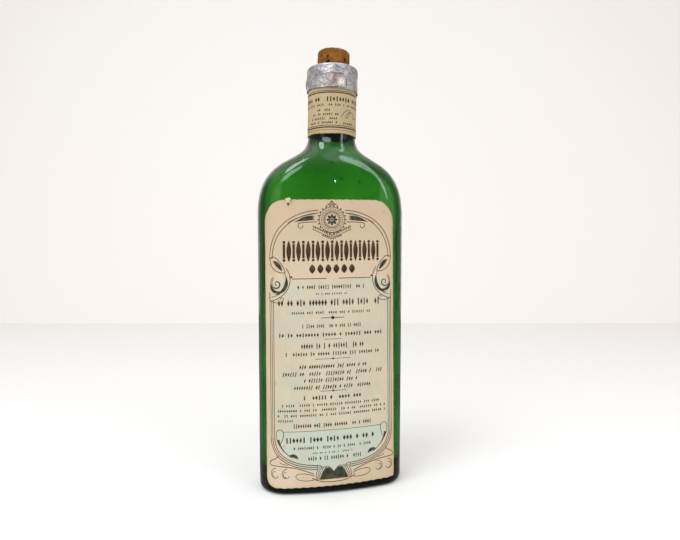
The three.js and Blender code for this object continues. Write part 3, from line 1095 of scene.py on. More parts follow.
def draw_ribbon(plate):
    """A ribbon under the rosette, with ticks on it and a small swag below."""
    for drop in (0.0, 1.8):
        plate.pen(0.3, (0, 122.4 - drop), (3.4, 122.2 - drop), (6.2, 124.8 - drop),
                  (9.4, 125.6 - drop), steps=30)
    plate.both([(9.4, 125.6), (8.7, 124.6), (9.4, 123.8)], 0.3)
    for tick in range(10):
        share = (tick + 0.5) / 10.4
        x, rise = 8.8 * share, 3.2 * share * share * (3 - 2 * share)
        plate.both([(x, 121.9 + rise), (x + 0.05, 121.4 + rise), (x, 120.9 + rise)], 0.4)
    for step in range(5):
        x, drop = 0.3 + step * 0.95, 0.35 * step
        plate.both([(x, 120.0 + drop), (x + 0.2, 119.6 + drop), (x + 0.5, 119.2 + drop)], 0.6)


draw_rosette(frame_plate, leaf_plate)
draw_ribbon(frame_plate)

# %% The foot of the label
def draw_foot(plate, fills):
    """The panel's top rule, its loops and strokes, and the curls in the corners."""
    plate.across(24.2, PANEL_TOP, 0.2, steps=90)
    loop = ((25.9, 20.8), (23.2, 25), (23.8, 28), (25.9, 28), (28.0, 28), (28.4, 25), (26.3, 20.8))
    spur = ((26.6, 15.6), (27.4, 13.8), (31.4, 13.2), (31.2, 11.6), (31.0, 10.2), (28.4, 10.8),
            (27.4, 10.6))
    sweep = ((27.4, 10.6), (22, 10.2), (17.6, 9.8), (9.8, 6.2))
    inner = ((25.8, 12.6), (26.4, 12.2), (24.6, 11.4), (22.4, 11.2))
    for width, corners, steps in (
            (THIN, loop, 40), (LINE, spur, 40), (LINE, sweep, 50), (THIN, inner, 40)):
        plate.pen(width, *corners, steps=steps)
    taper = 0.3 + 1.1 * np.linspace(1, 0, 41) ** 3
    fills.pen(taper, (26.8, 23.2), (25.8, 19.2), (23.2, 16.6), (20.0, 14.4))
    fills.pen(swell(20, 1.7, 0.3), (21.4, 15.6), (19.8, 15.8), (18.0, 15.2), (17.4, 13.8), steps=20)
    for x, size in ((28.2, 3.1), (22.8, 2.9)):
        plate.both(spiral((x, 6.4), size, size * 0.45, 95, -0.7), THIN)
        plate.both(spiral((x + 0.4, 6.2), size * 0.55, size * 0.3, 100, -0.55, 30), THIN)
    plate.pen(THIN, (9.6, 3.4), (13.0, 2.6), (18.6, 3.4), (18.4, 5.6), (18.2, 7.4), (12.4, 6.6),
              (9.4, 5.2))


def draw_fan(plate, fills):
    """Thirteen ribs that open upwards, with straps beside them and a line beneath."""
    for rib in range(-6, 7):
        sway = rib / 6
        dip = 2.1 * (1 - min(1, abs(sway) * 2.2))
        fan = curve((sway * 6.5, 3.3), (sway * 6.0, 5.2), (sway * 4.4, 7.6),
                    (sway * 3.5, 8.9 - dip), steps=20)
        fills.line(fan + (PRINT_MIDDLE, 0), np.linspace(1.05, 0.62, 21))
    for strap in range(4):
        out = strap * 1.05
        plate.pen(0.3, (3.3 + out, 9.6), (4.6 + out, 9.4), (6.0 + out, 5.6),
                  (7.0 + out * 0.5, 3.4), steps=24)
    plate.both(spiral((7.4, 9.2), 1.6, 0.7, 200, -0.6, 30), THIN)
    plate.pen(LINE, (0, 1.9), (5, 1.9), (8, 2.6), (10.6, 4.4))
    plate.pen(0.34, (0, 6.9), (0.8, 7.3), (1.6, 9.4), (3.3, 9.6), steps=20)


draw_foot(frame_plate, leaf_plate)
draw_fan(frame_plate, leaf_plate)
print("and", frame_plate.count + leaf_plate.count, "with the rosette and the foot")

# %% [markdown]
# Where small print would stand, the label carries rows of ornament: lozenges and ticks of one
# height, which can't be read as letters. A row is a line of places. A slow noise along the row
# removes some neighbours together, which leaves gaps as between words. Each remaining place gets
# a lozenge or a tick, and slanted rows only turn them a little.

# %% A tree that grows a row of lozenges and ticks
WORD_STEP = 0.55
SEED_STEP = 5.31


def build_row_tree():
    sizes = (("Pitch", 0.7), ("Height", 1.8), ("Stroke", 0.3), ("Gap", 0.6), ("Slant", 0.0))
    tree, given, result = node_tree("row_of_ornament", sizes, ("Count", "Seed"))

    def times(first, second):
        return add(tree, "ShaderNodeMath", {0: first, 1: second}, operation="MULTIPLY").outputs[0]

    def tick(width):
        """An upright of this many stroke widths, as tall as the row."""
        size = add(tree, "ShaderNodeCombineXYZ", {
            "X": times(given["Stroke"], width), "Y": INK_DEPTH, "Z": given["Height"]})
        return add(tree, "GeometryNodeMeshCube", {"Size": size.outputs[0]}).outputs[0]

    def lozenge(width):
        """A four-sided diamond, laid out flat and then turned to face out of the row."""
        flat = add(tree, "GeometryNodeMeshCylinder", {
            "Vertices": 4, "Radius": 0.5, "Depth": INK_DEPTH})
        size = add(tree, "ShaderNodeCombineXYZ", {
            "X": times(given["Stroke"], width), "Y": given["Height"], "Z": 1.0})
        return add(tree, "GeometryNodeTransform", {
            "Geometry": flat.outputs[0], "Rotation": (math.radians(90), 0, 0), "Scale": size.outputs[0],
        }).outputs[0]

    choices = add(tree, "GeometryNodeGeometryToInstance")
    for shape in (lozenge(2.5), tick(1.1), lozenge(2.1)):
        tree.links.new(shape, choices.inputs[0])
    step = add(tree, "ShaderNodeCombineXYZ", {"X": given["Pitch"]})
    line = add(tree, "GeometryNodeMeshLine", {"Count": given["Count"], "Offset": step.outputs[0]})
    number = add(tree, "GeometryNodeInputIndex").outputs[0]
    where = add(tree, "ShaderNodeMath", {
        0: number, 1: WORD_STEP, 2: times(given["Seed"], SEED_STEP)}, operation="MULTIPLY_ADD")
    words = add(tree, "ShaderNodeTexNoise", {
        "W": where.outputs[0], "Scale": 1.0, "Detail": 0.0}, noise_dimensions="1D")
    empty = add(tree, "FunctionNodeCompare", {
        0: words.outputs[0], 1: given["Gap"]}, operation="GREATER_THAN", data_type="FLOAT")
    kept = add(tree, "GeometryNodeDeleteGeometry", {
        "Geometry": line.outputs[0], "Selection": empty.outputs[0]})
    pick = add(tree, "FunctionNodeRandomValue", {4: 0, 5: 2, "Seed": given["Seed"]}, data_type="INT")
    tilt = add(tree, "ShaderNodeCombineXYZ", {"Y": given["Slant"]})
    copies = add(tree, "GeometryNodeInstanceOnPoints", {
        "Points": kept.outputs[0], "Instance": choices.outputs[0], "Pick Instance": True,
        "Instance Index": pick.outputs[2], "Rotation": tilt.outputs[0]})
    finish_tree(tree, copies, given["Material"], result)
    return tree


ROW_TREE = build_row_tree()

# %% Set a row
PITCH_OF_WEIGHT = 2.4
PITCH_ADDED = 0.24
SHAPE_HEIGHT = 0.84


def set_row(plate, middle, up, length, height, weight, slant, seed, gap=0.6):
    """Grows one row and lays it flat on the plate, centred on its middle."""
    pitch = weight * PITCH_OF_WEIGHT + PITCH_ADDED
    points, faces = grow(ROW_TREE, {
        "Pitch": pitch, "Height": height * SHAPE_HEIGHT, "Stroke": weight, "Gap": gap, "Slant": slant,
        "Count": int(length / pitch) + 1, "Seed": seed, "Material": brown_ink})
    flat = np.stack([
        points[:, 0] + middle - length / 2,
        points[:, 2] + up,
        points[:, 1] + (INK_RISE + INK_SINK) / 2], axis=1)
    plate.put(flat, faces)


# %% [markdown]
# Each row of the label is described by its height above the sheet's bottom edge, its length, and
# the height, weight and slant of its shapes, much as a compositor would set it. A short fringe of
# shapes with no gaps ends the small rows at the left.

# %% Set the rows of print
ITALIC = 0.25
LABEL_ROWS = (
    (96.2, 33.0, 2.5, 0.36, 0.0),
    (92.9, 15.5, 1.3, 0.26, 0.0),
    (88.7, 51.5, 3.9, 0.52, 0.0),
    (83.9, 39.0, 1.7, 0.34, 0.0),
    (77.4, 29.0, 2.4, 0.32, 0.0),
    (73.2, 51.0, 2.3, 0.48, 0.0),
    (67.8, 30.0, 3.3, 0.40, 0.0),
    (64.0, 47.5, 2.2, 0.40, 0.0),
    (57.9, 34.0, 2.6, 0.38, ITALIC),
    (54.5, 50.0, 2.6, 0.38, ITALIC),
    (51.3, 27.5, 2.6, 0.38, ITALIC),
    (47.9, 37.0, 2.6, 0.38, ITALIC),
    (42.9, 28.0, 2.4, 0.50, 0.0),
    (39.5, 49.0, 1.7, 0.34, 0.0),
    (37.0, 53.0, 1.7, 0.34, 0.0),
    (34.6, 53.0, 1.7, 0.34, 0.0),
    (29.6, 38.0, 2.6, 0.36, 0.0),
)
PANEL_ROWS = (
    (22.8, 45.0, 3.2, 0.58, 0.0),
    (18.9, 38.0, 2.0, 0.32, 0.0),
    (16.3, 20.0, 1.2, 0.26, 0.0),
    (13.7, 28.5, 2.6, 0.36, 0.0),
)
SHORT_ROW = (PRINT_MIDDLE - 22.8, 32.2, 7.0, 1.6, 0.34, 0.0)
PANEL_SEED = 40
text_plate = Plate()
panel_plate = Plate()
for number, row in enumerate(LABEL_ROWS):
    set_row(text_plate, PRINT_MIDDLE, *row, number)
set_row(text_plate, *SHORT_ROW, 33, gap=1.0)
for number, row in enumerate(PANEL_ROWS):
    set_row(panel_plate, PRINT_MIDDLE, *row, PANEL_SEED + number)
print("rows of ornament:", len(LABEL_ROWS) + 1 + len(PANEL_ROWS))

# %% [markdown]
# The heading is a frieze: tall leaves with bars between them. Below it is a shorter row of
# lozenges. Both are ornaments, and stand where a name would be.

# %% The heading and the dividers
HEADING_MIDDLE = 113.6
HEADING_HALF = 23.2
HEADING_HEIGHT = 9.8
HEADING_LEAVES = 10
SECOND_MIDDLE = 104.9
SECOND_LOZENGES = 6
SECOND_PITCH = 3.9


def upright(plate, x, middle, height, width):
    """A bar, or a leaf if its width swells."""
    plate.line(plumb(0, -height / 2, height / 2, 21) + (x, middle), width)


def draw_heading(plate):
    pitch = 2 * HEADING_HALF / HEADING_LEAVES
    left = PRINT_MIDDLE - HEADING_HALF
    for number in range(HEADING_LEAVES):
        x = left + (number + 0.5) * pitch
        upright(plate, x, HEADING_MIDDLE, HEADING_HEIGHT, swell(20, 2.3, 0.4))
    for number in range(HEADING_LEAVES + 1):
        x = left + number * pitch
        upright(plate, x, HEADING_MIDDLE, HEADING_HEIGHT * 0.7, 1.15)
        for end in (-1, 1):
            plate.dot((x, HEADING_MIDDLE + end * HEADING_HEIGHT * 0.44), 0.72)
    for number in range(SECOND_LOZENGES):
        x = PRINT_MIDDLE + (number - (SECOND_LOZENGES - 1) / 2) * SECOND_PITCH
        upright(plate, x, SECOND_MIDDLE, 4.3, swell(20, 2.9, 0.4))


# height, half its length, width, and the size of the bead in its middle
DIVIDERS = (
    (81.3, 5.75, 0.3, 0.85),
    (71.0, 4.25, 0.2, 0.0),
    (61.5, 8.75, 0.22, 0.5),
    (46.0, 6.5, 0.22, 0.5),
)
heading_plate = Plate()
draw_heading(heading_plate)
for side in (-1, 1):
    heading_plate.across(8.25, 100.3, 0.34, PRINT_MIDDLE + side * 11.2)
    heading_plate.dot((PRINT_MIDDLE + side * 19.8, 101.2), 0.5)
for up, half, width, bead in DIVIDERS:
    heading_plate.across(half, up, width)
    if bead:
        heading_plate.dot((PRINT_MIDDLE, up), bead)
print("the heading has", heading_plate.count, "points")

# %% Paste the printing on the label
PRINTS = (
    ("print_frame", frame_plate, line_ink),
    ("print_leaves", leaf_plate, green_ink),
    ("print_rows", text_plate, brown_ink),
    ("print_panel_rows", panel_plate, green_ink),
    ("print_heading", heading_plate, brown_ink),
)


def on_label(x, up, lift):
    return paste_on_front(x, up, PAPER_THICKNESS + lift)


for name, plate, ink in PRINTS:
    printed = plate.piece(name, on_label, ink)
    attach(printed, "bottle")

# %% [markdown]
# ## The neck band
# A strip of the same paper goes once round the neck, with its ends overlapping at the back. It is
# printed with rules and rows of ornament too, and a looped flourish where a signature would be.
# The strip is laid out flat in the same way: x is measured round the neck from the front.

# %% Pasting flat points round the neck
BAND_RADIUS = 12.42
BAND_BOTTOM_Z = 175.5
BAND_TOP_Z = 198.7
BAND_HALF = math.pi * BAND_RADIUS + 1.6
BAND_PAPER = 0.14
OVERLAP_RISE = 0.17
OVERLAP_FROM = 2.5


def paste_on_neck(x, z, lift):
    """Rolls the flat strip round the neck. Its right end rises over its left end."""
    angle = x / BAND_RADIUS
    past = np.abs(x) - math.pi * BAND_RADIUS + OVERLAP_FROM
    overlap = OVERLAP_RISE * np.clip(past / 2, 0, 1) * (x > 0)
    waves = 0.035 * np.sin(5 * angle + 0.3 * z) + 0.025 * np.sin(0.8 * z + 2 * angle)
    reach = BAND_RADIUS - 0.15 + lift + overlap + waves
    return lean(round_points(reach, angle, z))


def make_band():
    across = np.linspace(-BAND_HALF, BAND_HALF, 170)
    rows = np.linspace(0, 1, 40)
    x = np.repeat(across[None, :], len(rows), axis=0)
    low = BAND_BOTTOM_Z + 0.12 * np.sin(x * 0.35) + 0.06 * np.sin(x * 1.9)
    z = low + (BAND_TOP_Z - low) * rows[:, None]
    piece = new_sheet("neck_band", paste_on_neck, x, z, BAND_PAPER, 0.0, band_paper)
    rim = np.minimum(z - low, BAND_HALF - np.abs(x)).ravel()
    store(piece, "edge", np.tile(0.6 * np.exp(-rim / 0.5) + 0.2 * np.exp(-rim / 3), 2))
    return piece


neck_band = make_band()
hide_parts("neck_label")
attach(neck_band, "bottle")

# %% Print the neck band
# height and width
BAND_RULES = ((196.5, 0.3), (195.7, 0.55), (179.4, 0.3), (178.5, 0.6), (177.2, 0.2))
# middle, height above the foot, length, then the height, weight and slant of the shapes
BAND_ROWS = (
    (-1.0, 192.4, 52.0, 2.9, 0.56, 0.0),
    (-1.0, 189.6, 46.0, 1.5, 0.34, 0.0),
    (-6.5, 187.0, 7.0, 1.7, 0.32, ITALIC),
    (-6.0, 184.9, 13.5, 1.7, 0.32, ITALIC),
    (-6.5, 182.8, 14.0, 1.7, 0.32, ITALIC),
    (-7.0, 180.8, 15.0, 1.7, 0.32, ITALIC),
    (8.4, 180.7, 9.5, 1.6, 0.4, 0.0),
)
BAND_SEED = 60
band_plate = Plate()
for up, width in BAND_RULES:
    band_plate.across(BAND_HALF - 1.5, up, width, 0.0, 150)
for number, row in enumerate(BAND_ROWS):
    set_row(band_plate, *row, BAND_SEED + number)
flourish = curve((2.2, 183.6), (4.6, 188.8), (9.2, 188.6), (6.2, 184.4), (3.0, 180.8), (5.0, 187.6),
                 (9.0, 186.6), (12.4, 185.6), (7.6, 182.4), (12.6, 184.6))
band_plate.line(flourish, 0.26)


def on_band(x, z, lift):
    return paste_on_neck(x, z, BAND_PAPER + lift)


print_band = band_plate.piece("print_band", on_band, brown_ink)
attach(print_band, "bottle")

# %% [markdown]
# ## The foil capsule
# The foil is a thin skirt from below the lip, over its rounded top and in towards the cork. It
# was pressed on by hand, so it is dented and finely creased, its lower edge is uneven, and the
# hole round the cork is torn rather than cut. On the left one fold stands proud of the rest, and
# the lower edge climbs a little there. The profile goes up the outside and back down the inside,
# so the sheet has a real thickness.

# %% Crumple and fold
FOIL_RADIUS = 12.95
FOIL_SHEET = 0.18
FOIL_BOTTOM_Z = 197.7
FOIL_TOP_Z = foil_top - 0.2
FOIL_CORNER = 1.1
FOIL_HOLE = 9.1
SKIRT_ROWS = 52
FOIL_TURNS = 320
FOLD_TURN = math.radians(-102)
FOLD_Z = 202.4
FOLD_PROUD = 0.75
FOLD_NARROW = 0.012
FOLD_HALF = 2.6
EDGE_RAG = 0.15
EDGE_CLIMB = 1.0
EDGE_FLARE = 0.1
HOLE_TEAR = 0.5
WORN_TURN = math.radians(-4)
WORN_Z = 201.6


def crumple(x, y, z):
    """How far the foil is pushed out here, and how sharply it is creased (0 to 1)."""
    place = Vector((x, y, z))
    dents = 0.2 * noise.noise(place * 0.22)
    ridge = abs(noise.noise(place * 0.42 + Vector((4, 1, 7))))
    finer = abs(noise.noise(place * 1.1 + Vector((2, 8, 3))))
    pucker = 0.05 * noise.noise(place * 2.4)
    crease = max(0.0, 1 - ridge * 9) * 0.8 + max(0.0, 1 - finer * 7) * 0.35
    return dents + 0.22 * (0.25 - ridge) + 0.1 * (0.25 - finer) + pucker, min(1.0, crease)


def worn_share(turn, z):
    """Fingers have rubbed the front of the skirt warm and brown, most of all in its middle."""
    turn = (np.asarray(turn) + math.pi) % (2 * math.pi) - math.pi
    return 0.85 * np.exp(-((turn - WORN_TURN) / 0.5) ** 2) * np.exp(-((z - WORN_Z) / 3.4) ** 4)


def foil_profile(thick):
    """Radius and height up the skirt, round the corner and in to the hole."""
    radius, top, corner = FOIL_RADIUS - thick, FOIL_TOP_Z - thick, FOIL_CORNER - thick
    skirt = plumb(radius, FOIL_BOTTOM_Z, top - corner, SKIRT_ROWS)
    bend = arc((radius - corner, top - corner), corner, 0, 90, 9)
    lid = level(radius - corner, FOIL_HOLE, top, 14)
    return np.vstack([skirt, bend[1:], lid[1:]])


SKIRT_SHARE = (SKIRT_ROWS - 0.5) / (len(foil_profile(0)) - 1)


def skirt_point(radius, z, turn, share, move):
    """One point of the foil, share of the way from its lower edge (0) to its hole (1)."""
    x, y = math.sin(turn), -math.cos(turn)
    if share < SKIRT_SHARE:
        low = max(0.0, 1 - share * 6)
        ragged = noise.noise(Vector((x * 5, y * 5, 1)))
        edge = low * (EDGE_RAG * ragged - EDGE_CLIMB * max(0.0, -x) ** 1.5)
        proud = FOLD_PROUD * math.exp((math.cos(turn - FOLD_TURN) - 1) / FOLD_NARROW)
        proud *= math.exp(-((z - FOLD_Z) / FOLD_HALF) ** 4)
        reach = radius + move * min(1.0, 0.5 + share) + EDGE_FLARE * low ** 3 + proud
        return reach * x, reach * y, z - edge
    tear = HOLE_TEAR * noise.noise(Vector((x * 4, y * 4, 8))) * max(0.0, share * 4 - 3)
    return (radius + tear) * x, (radius + tear) * y, z + move * 0.6


def make_foil_capsule():
    turns = even_turns(FOIL_TURNS)
    outer = foil_profile(0)
    inner = foil_profile(FOIL_SHEET)
    count = len(outer)
    layers = np.zeros((2, count, len(turns), 3))
    creases = np.zeros((2, count, len(turns)))
    for i in range(count):
        for j, turn in enumerate(turns):
            x, y = math.sin(turn) * outer[i, 0], -math.cos(turn) * outer[i, 0]
            move, creases[:, i, j] = crumple(x, y, outer[i, 1])
            for layer, (radius, z) in zip(layers, (outer[i], inner[i])):
                layer[i, j] = skirt_point(radius, z, turn, i / (count - 1), move)
    there_and_back = [np.concatenate([two[0], two[1][::-1]]) for two in (layers, creases)]
    points, folds = there_and_back
    faces = ring_faces(2 * count, len(turns), True)
    piece = new_piece("foil_skirt", lean(points.reshape(-1, 3)), faces, tin_foil)
    store(piece, "patina_and_shadow", folds.ravel() * 0.6)
    worn = worn_share(turns, outer[:, 1:])
    store(piece, "worn", np.concatenate([worn, worn[::-1]]).ravel())
    return piece


foil_skirt = make_foil_capsule()
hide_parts("foil_capsule")
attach(foil_skirt, "bottle")

# %% [markdown]
# The foil's end is lapped over itself. The lap is its own strip: its rounded end lies in front,
# and towards the left it sinks into the foil beneath. Its end is rubbed warm and carries a painted
# highlight, and a painted shadow darkens its rim. It takes its dents from the same rule as the
# skirt, so the two lie close.

# %% The lapped end
LAP_FRONT = math.radians(20)
LAP_BACK = math.radians(-64)
LAP_BOTTOM = 198.2
LAP_TOP = 204.3
LAP_ROUND = 2.8
LAP_LIFTS = (0.34, 0.12)
LAP_SINK = 0.6
LAP_SINK_FROM = 7.5
# where the painted highlight lies on the lap: how far from its end, and how far up it
HIGHLIGHT_RUN = 2.6
HIGHLIGHT_SHARE = 0.45


def make_foil_lap():
    """The strip between a wavy top and bottom. The run is how far a point is from its end."""
    turns = np.linspace(LAP_FRONT, LAP_BACK, 160)
    shares = np.linspace(0, 1, 36)
    run = (LAP_FRONT - turns) * FOIL_RADIUS
    short = np.clip(LAP_ROUND - run, 0, LAP_ROUND)
    top = LAP_TOP - (LAP_ROUND - np.sqrt(LAP_ROUND ** 2 - short ** 2))
    top += 1 - np.exp(-run / 3) - 0.8 * np.clip((run - 8) / 8, 0, 1) + 0.1 * np.sin(run)
    bottom = LAP_BOTTOM + 0.1 * np.sin(run * 0.6)
    z = bottom + (top - bottom) * shares[:, None]
    move, patina_and_shadow = np.zeros_like(z), np.zeros_like(z)
    for i, j in np.ndindex(z.shape):
        x, y = FOIL_RADIUS * math.sin(turns[j]), -FOIL_RADIUS * math.cos(turns[j])
        move[i, j], patina_and_shadow[i, j] = crumple(x, y, z[i, j])
    left = 1 - shares[:, None]
    rise = 0.14 * np.exp(-run / 0.9) + 0.12 * np.exp(-left * 12)
    rise -= LAP_SINK * np.clip((run - LAP_SINK_FROM) / 8, 0, 1)
    # how near a point is to the lap's rim, where a painted shadow darkens it
    rim = np.minimum(run / 0.7, left * (top - bottom) / 0.5)
    layers = []
    for lift in LAP_LIFTS:
        reach = FOIL_RADIUS + move * 0.9 + lift + rise
        layers.append(round_points(reach, turns, z))
    points = lean(np.reshape(layers, (-1, 3)))
    piece = new_piece("foil_lap", points, sheet_faces(*z.shape), tin_foil)
    # a painted highlight near the lap's rounded end
    painted_highlight = np.exp(-((run - HIGHLIGHT_RUN) / 1.7) ** 2 - ((shares[:, None] - HIGHLIGHT_SHARE) / 0.28) ** 2)
    for name, values in (
            # patina in the creases, and a painted shadow along the lap's rim
            ("patina_and_shadow", np.clip(np.maximum(patina_and_shadow * 0.5, 1 - rim), 0, 1)),
            ("worn", worn_share(turns, z)),
            ("painted_highlight", painted_highlight)):
        store(piece, name, np.tile(values.ravel(), 2))
    return piece


foil_lap = make_foil_lap()
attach(foil_lap, "bottle")

# %% [markdown]
# ## The cork
# A cork is punched from bark, so its side shows the bark's dark pores as pits, some of them long.
# The pits are pushed into a fine mesh, and how deep each point lies is stored for the material.
# Only the top stands out of the lip, but the whole cork is made, because it pulls out.

# %% Pits and the cork
CORK_RADIUS = 8.27
CORK_END_RADIUS = 7.5
CORK_BOTTOM_Z = 195.0
CORK_TAPER_TOP_Z = 209.0
CORK_TOP_Z = 219.9
CORK_ROUNDING = 1.5
CORK_ASIDE = 0.5
CORK_TURNS = 200
CORK_TRIM = 0.06
TOP_WEAR_FROM = 216
DARK_DEPTH = 0.45
# turn in degrees from the front, height, half-width, half-height and depth of the pits in view
PITS = (
    (-33, 215.0, 0.34, 0.9, 0.9),
    (-30, 212.6, 0.75, 0.5, 1.0),
    (-62, 216.0, 0.4, 0.6, 0.7),
    (33, 214.0, 0.5, 0.75, 0.9),
    (-5, 217.4, 0.3, 0.3, 0.5),
    (120, 215.5, 0.4, 0.9, 0.8),
    (170, 214.0, 0.6, 0.5, 0.9),
    (-140, 216.4, 0.4, 0.7, 0.8),
)


def random_pits(count, seed):
    """Small pits all over, strewn by chance."""
    chance = np.random.default_rng(seed)
    return [(
        chance.uniform(-180, 180), chance.uniform(CORK_BOTTOM_Z + 1, CORK_TOP_Z - 2),
        chance.uniform(0.15, 0.35), chance.uniform(0.2, 0.6), chance.uniform(0.2, 0.5),
    ) for _ in range(count)]


def cork_profile():
    """Radius and height from the middle of the lower end, up the side and in over the top."""
    lower = np.stack([
        np.linspace(CORK_END_RADIUS, CORK_RADIUS, 40),
        np.linspace(CORK_BOTTOM_Z + 0.4, CORK_TAPER_TOP_Z, 40)], axis=1)
    side_top = CORK_TOP_Z - CORK_ROUNDING
    upper = plumb(CORK_RADIUS, CORK_TAPER_TOP_Z, side_top, 34)
    bend = arc((CORK_RADIUS - CORK_ROUNDING, side_top), CORK_ROUNDING, 0, 90, 9)
    lid = level(CORK_RADIUS - CORK_ROUNDING, 0.3, CORK_TOP_Z, 26)
    base = level(0.3, CORK_END_RADIUS - 0.4, CORK_BOTTOM_Z, 12)
    return np.vstack([base, lower, upper[1:], bend[1:], lid[1:]])


def make_cork_piece():
    profile = cork_profile()
    turns = even_turns(CORK_TURNS)
    radius, z = (np.repeat(profile[:, k:k + 1], CORK_TURNS, 1) for k in (0, 1))
    deep = np.zeros_like(radius)
    for turn, height, wide, tall, depth in list(PITS) + random_pits(70, 5):
        apart = (turns - math.radians(turn) + math.pi) % (2 * math.pi) - math.pi
        gone = np.exp(-((apart * CORK_RADIUS / wide) ** 2 + ((z - height) / tall) ** 2) ** 1.5)
        deep = np.maximum(deep, depth * gone)
    grain = np.zeros_like(radius)
    for i, j in np.ndindex(grain.shape):
        across, ahead = math.sin(turns[j]), math.cos(turns[j])
        place = Vector((radius[i, j] * across, radius[i, j] * ahead, z[i, j]))
        grain[i, j] = noise.noise(place * 0.7) * 0.16 + noise.noise(place * 2.2) * 0.07
    on_side = (radius > CORK_END_RADIUS - 0.5) & (z < CORK_TOP_Z - 0.1)
    reach = radius - CORK_TRIM + np.where(on_side, np.minimum(grain, 0.05) - deep, 0)
    height = z + np.where(z >= CORK_TOP_Z - 0.1, np.minimum(grain * 1.3 - 0.1, 0.0), 0)
    height -= 0.25 * np.clip((z - TOP_WEAR_FROM) / 4, 0, 1) * (1 + np.sin(turns - 0.4))
    aside = CORK_ASIDE * np.clip((z - LIP_TOP_Z - 1.2) / 3, 0, 1)
    points = round_points(reach, turns, height)
    points[..., 0] += aside
    ends = ((0, 0, CORK_BOTTOM_Z), (CORK_ASIDE, 0, CORK_TOP_Z - 0.35))
    faces = ring_faces(*radius.shape, False) + pole_faces(*radius.shape)
    piece = new_piece("cork_plug", lean(np.vstack([points.reshape(-1, 3), *ends])), faces, natural_cork)
    dark = np.clip(deep / DARK_DEPTH, 0, 1) * on_side
    store(piece, "pit", np.append(dark.ravel(), [0, 0]))
    return piece


cork_plug = make_cork_piece()
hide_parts("cork_stopper")
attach(cork_plug, "cork")

# %% [markdown]
# ## Stage, light and camera
# A white table and a cream wall, as plain as they can be. Glass shows what is round it, so the
# light matters as much as the glass. The room is bright behind and above the bottle and dim in
# front of it, so the face of the glass keeps its deep colour. The table is kept out of reflections,
# as by a black flag in a studio, so the foot of the glass stays dark.

# %% Floor and wall
WALL_Y = 620.0
STAGE_WIDE = 2200.0
STAGE_NEAR = -900.0
WALL_HIGH = 1700.0
WALL_HALF = 640.0
YAW = 0.2218


def plain(name, colour, glow):
    """A matt finish that glows a little, so that it stays pale in its own shade."""
    return new_material(name, {
        "Base Color": colour, "Roughness": 0.9, "Specular IOR Level": 0.1,
        "Emission Color": colour, "Emission Strength": glow})[0]


def make_stage():
    wide, near, far, high, half = STAGE_WIDE, STAGE_NEAR, WALL_Y, WALL_HIGH, WALL_HALF
    table = [(-wide, near, 0), (wide, near, 0), (wide, far, 0), (-wide, far, 0)]
    wall = [(-half, far, 0), (half, far, 0), (half, far, high), (-half, far, high)]
    cloth = plain("table_cloth", (0.745, 0.735, 0.73, 1), 0.14)
    drape = plain("wall_drape", screen(231, 226, 223), 0.3)
    for name, corners, finish in (("table", table, cloth), ("wall", wall, drape)):
        turned = [(
            x * math.cos(YAW) + y * math.sin(YAW), -x * math.sin(YAW) + y * math.cos(YAW), z)
            for x, y, z in corners]
        sheet = new_piece(name, turned, [[0, 1, 2, 3]], finish)
        sheet.visible_glossy = name != "table"


make_stage()

# %% [markdown]
# Oval softboxes draw the streaks on the shoulders: one wide on the left, one long and slanted on
# the right and one high up for the neck. A tiny one makes the glint, and a faint broad one hazes
# the glass below the neck. Two large warm ones at the sides fill the paper evenly.

# %% Lights
DAYLIGHT = (0.82, 0.92, 1.0)
LAMPLIGHT = (1.0, 0.97, 0.92)
AIM = Vector((0, 0, 130))


def softbox(name, azimuth, elevation, distance, wide, tall, radiance, colour, roll):
    """A soft oval light that looks at the bottle. Azimuth 0 is in front, 90 on the right."""
    turn, rise = math.radians(azimuth), math.radians(elevation)
    away = Vector((math.sin(turn) * math.cos(rise), -math.cos(turn) * math.cos(rise), math.sin(rise)))
    data = bpy.data.lights.new(name, "AREA")
    data.shape = "ELLIPSE"
    data.size, data.size_y = wide * MM, tall * MM
    data.energy = radiance * math.pi * (math.pi / 4) * wide * tall * MM * MM
    data.color = colour
    light = bpy.data.objects.new(name, data)
    light.location = (AIM + away * distance) * MM
    facing = (-away).to_track_quat("-Z", "Y")
    light.rotation_euler = (facing @ Quaternion((0, 0, 1), math.radians(roll))).to_euler()
    bpy.context.scene.collection.objects.link(light)


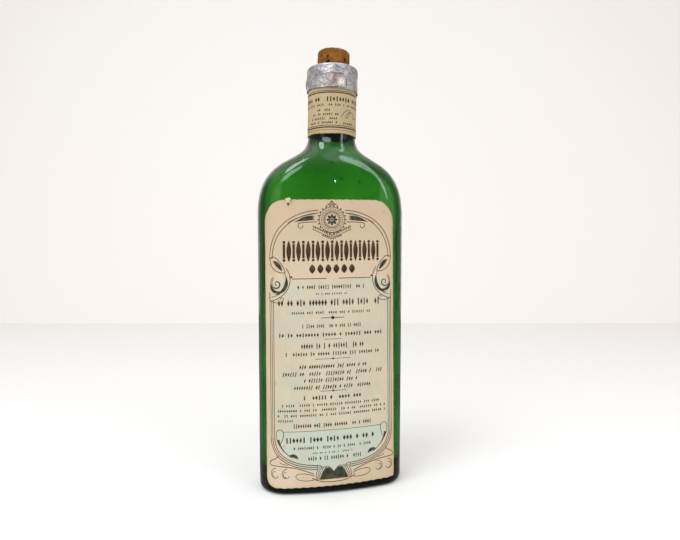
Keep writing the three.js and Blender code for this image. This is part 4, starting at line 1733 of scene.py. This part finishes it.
def make_world(front, back, above):
    """A plain room, dim in front, bright behind and brightest overhead, with no hard edges."""
    world = bpy.data.worlds.new("room")
    bpy.context.scene.world = world
    world.use_nodes = True
    tree = world.node_tree
    background = tree.nodes["Background"]
    background.inputs["Color"].default_value = (1.0, 0.97, 0.92, 1)
    way = add(tree, "ShaderNodeTexCoord").outputs["Generated"]
    along = add(tree, "ShaderNodeSeparateXYZ", {0: way})
    depth = add(tree, "ShaderNodeMapRange", {
        "Value": along.outputs["Y"], "From Min": -0.6, "From Max": 0.4,
        "To Min": front, "To Max": back})
    rise = add(tree, "ShaderNodeMapRange", {
        "Value": along.outputs["Z"], "From Min": 0.35, "From Max": 1.0, "To Max": above},
        interpolation_type="SMOOTHSTEP")
    glow = add(tree, "ShaderNodeMath", {0: depth.outputs["Result"], 1: rise.outputs["Result"]})
    tree.links.new(glow.outputs[0], background.inputs["Strength"])


# name, azimuth, elevation, distance, width, height, radiance, colour, roll
LIGHTS = (
    ("window_left", -34, 34, 800, 600, 180, 5.0, DAYLIGHT, 0),
    ("window_right", 35, 28, 800, 130, 640, 5.2, DAYLIGHT, 33),
    ("window_neck", -58, 58, 800, 330, 420, 8.0, DAYLIGHT, 0),
    ("glint", 11, 17, 800, 16, 16, 30.0, DAYLIGHT, 0),
    ("haze", 28, 46, 800, 420, 300, 0.9, DAYLIGHT, 0),
    ("side_left", -58, 4, 900, 680, 800, 0.75, LAMPLIGHT, 0),
    ("side_right", 55, 2, 900, 680, 800, 0.75, LAMPLIGHT, 0),
)
for light in LIGHTS:
    softbox(*light)
make_world(0.2, 0.3, 1.15)
print("lights:", [light[0] for light in LIGHTS])

# %% Camera
DISTANCE = 277.9
EYE_HEIGHT = 116.5
SIDEWAYS = 4.48
FOCAL = 28.58
RISE = -0.025


def make_camera():
    data = bpy.data.cameras.new("camera")
    data.lens = FOCAL
    data.sensor_width = 36.0
    data.shift_y = RISE
    data.clip_start = 0.01
    camera = bpy.data.objects.new("camera", data)
    x = SIDEWAYS * math.cos(YAW) - DISTANCE * math.sin(YAW)
    y = -SIDEWAYS * math.sin(YAW) - DISTANCE * math.cos(YAW)
    camera.location = Vector((x, y, EYE_HEIGHT)) * MM
    camera.rotation_euler = (math.radians(90), 0, -YAW)
    bpy.context.scene.collection.objects.link(camera)
    bpy.context.scene.camera = camera


make_camera()
bpy.context.scene.view_settings.view_transform = "Standard"
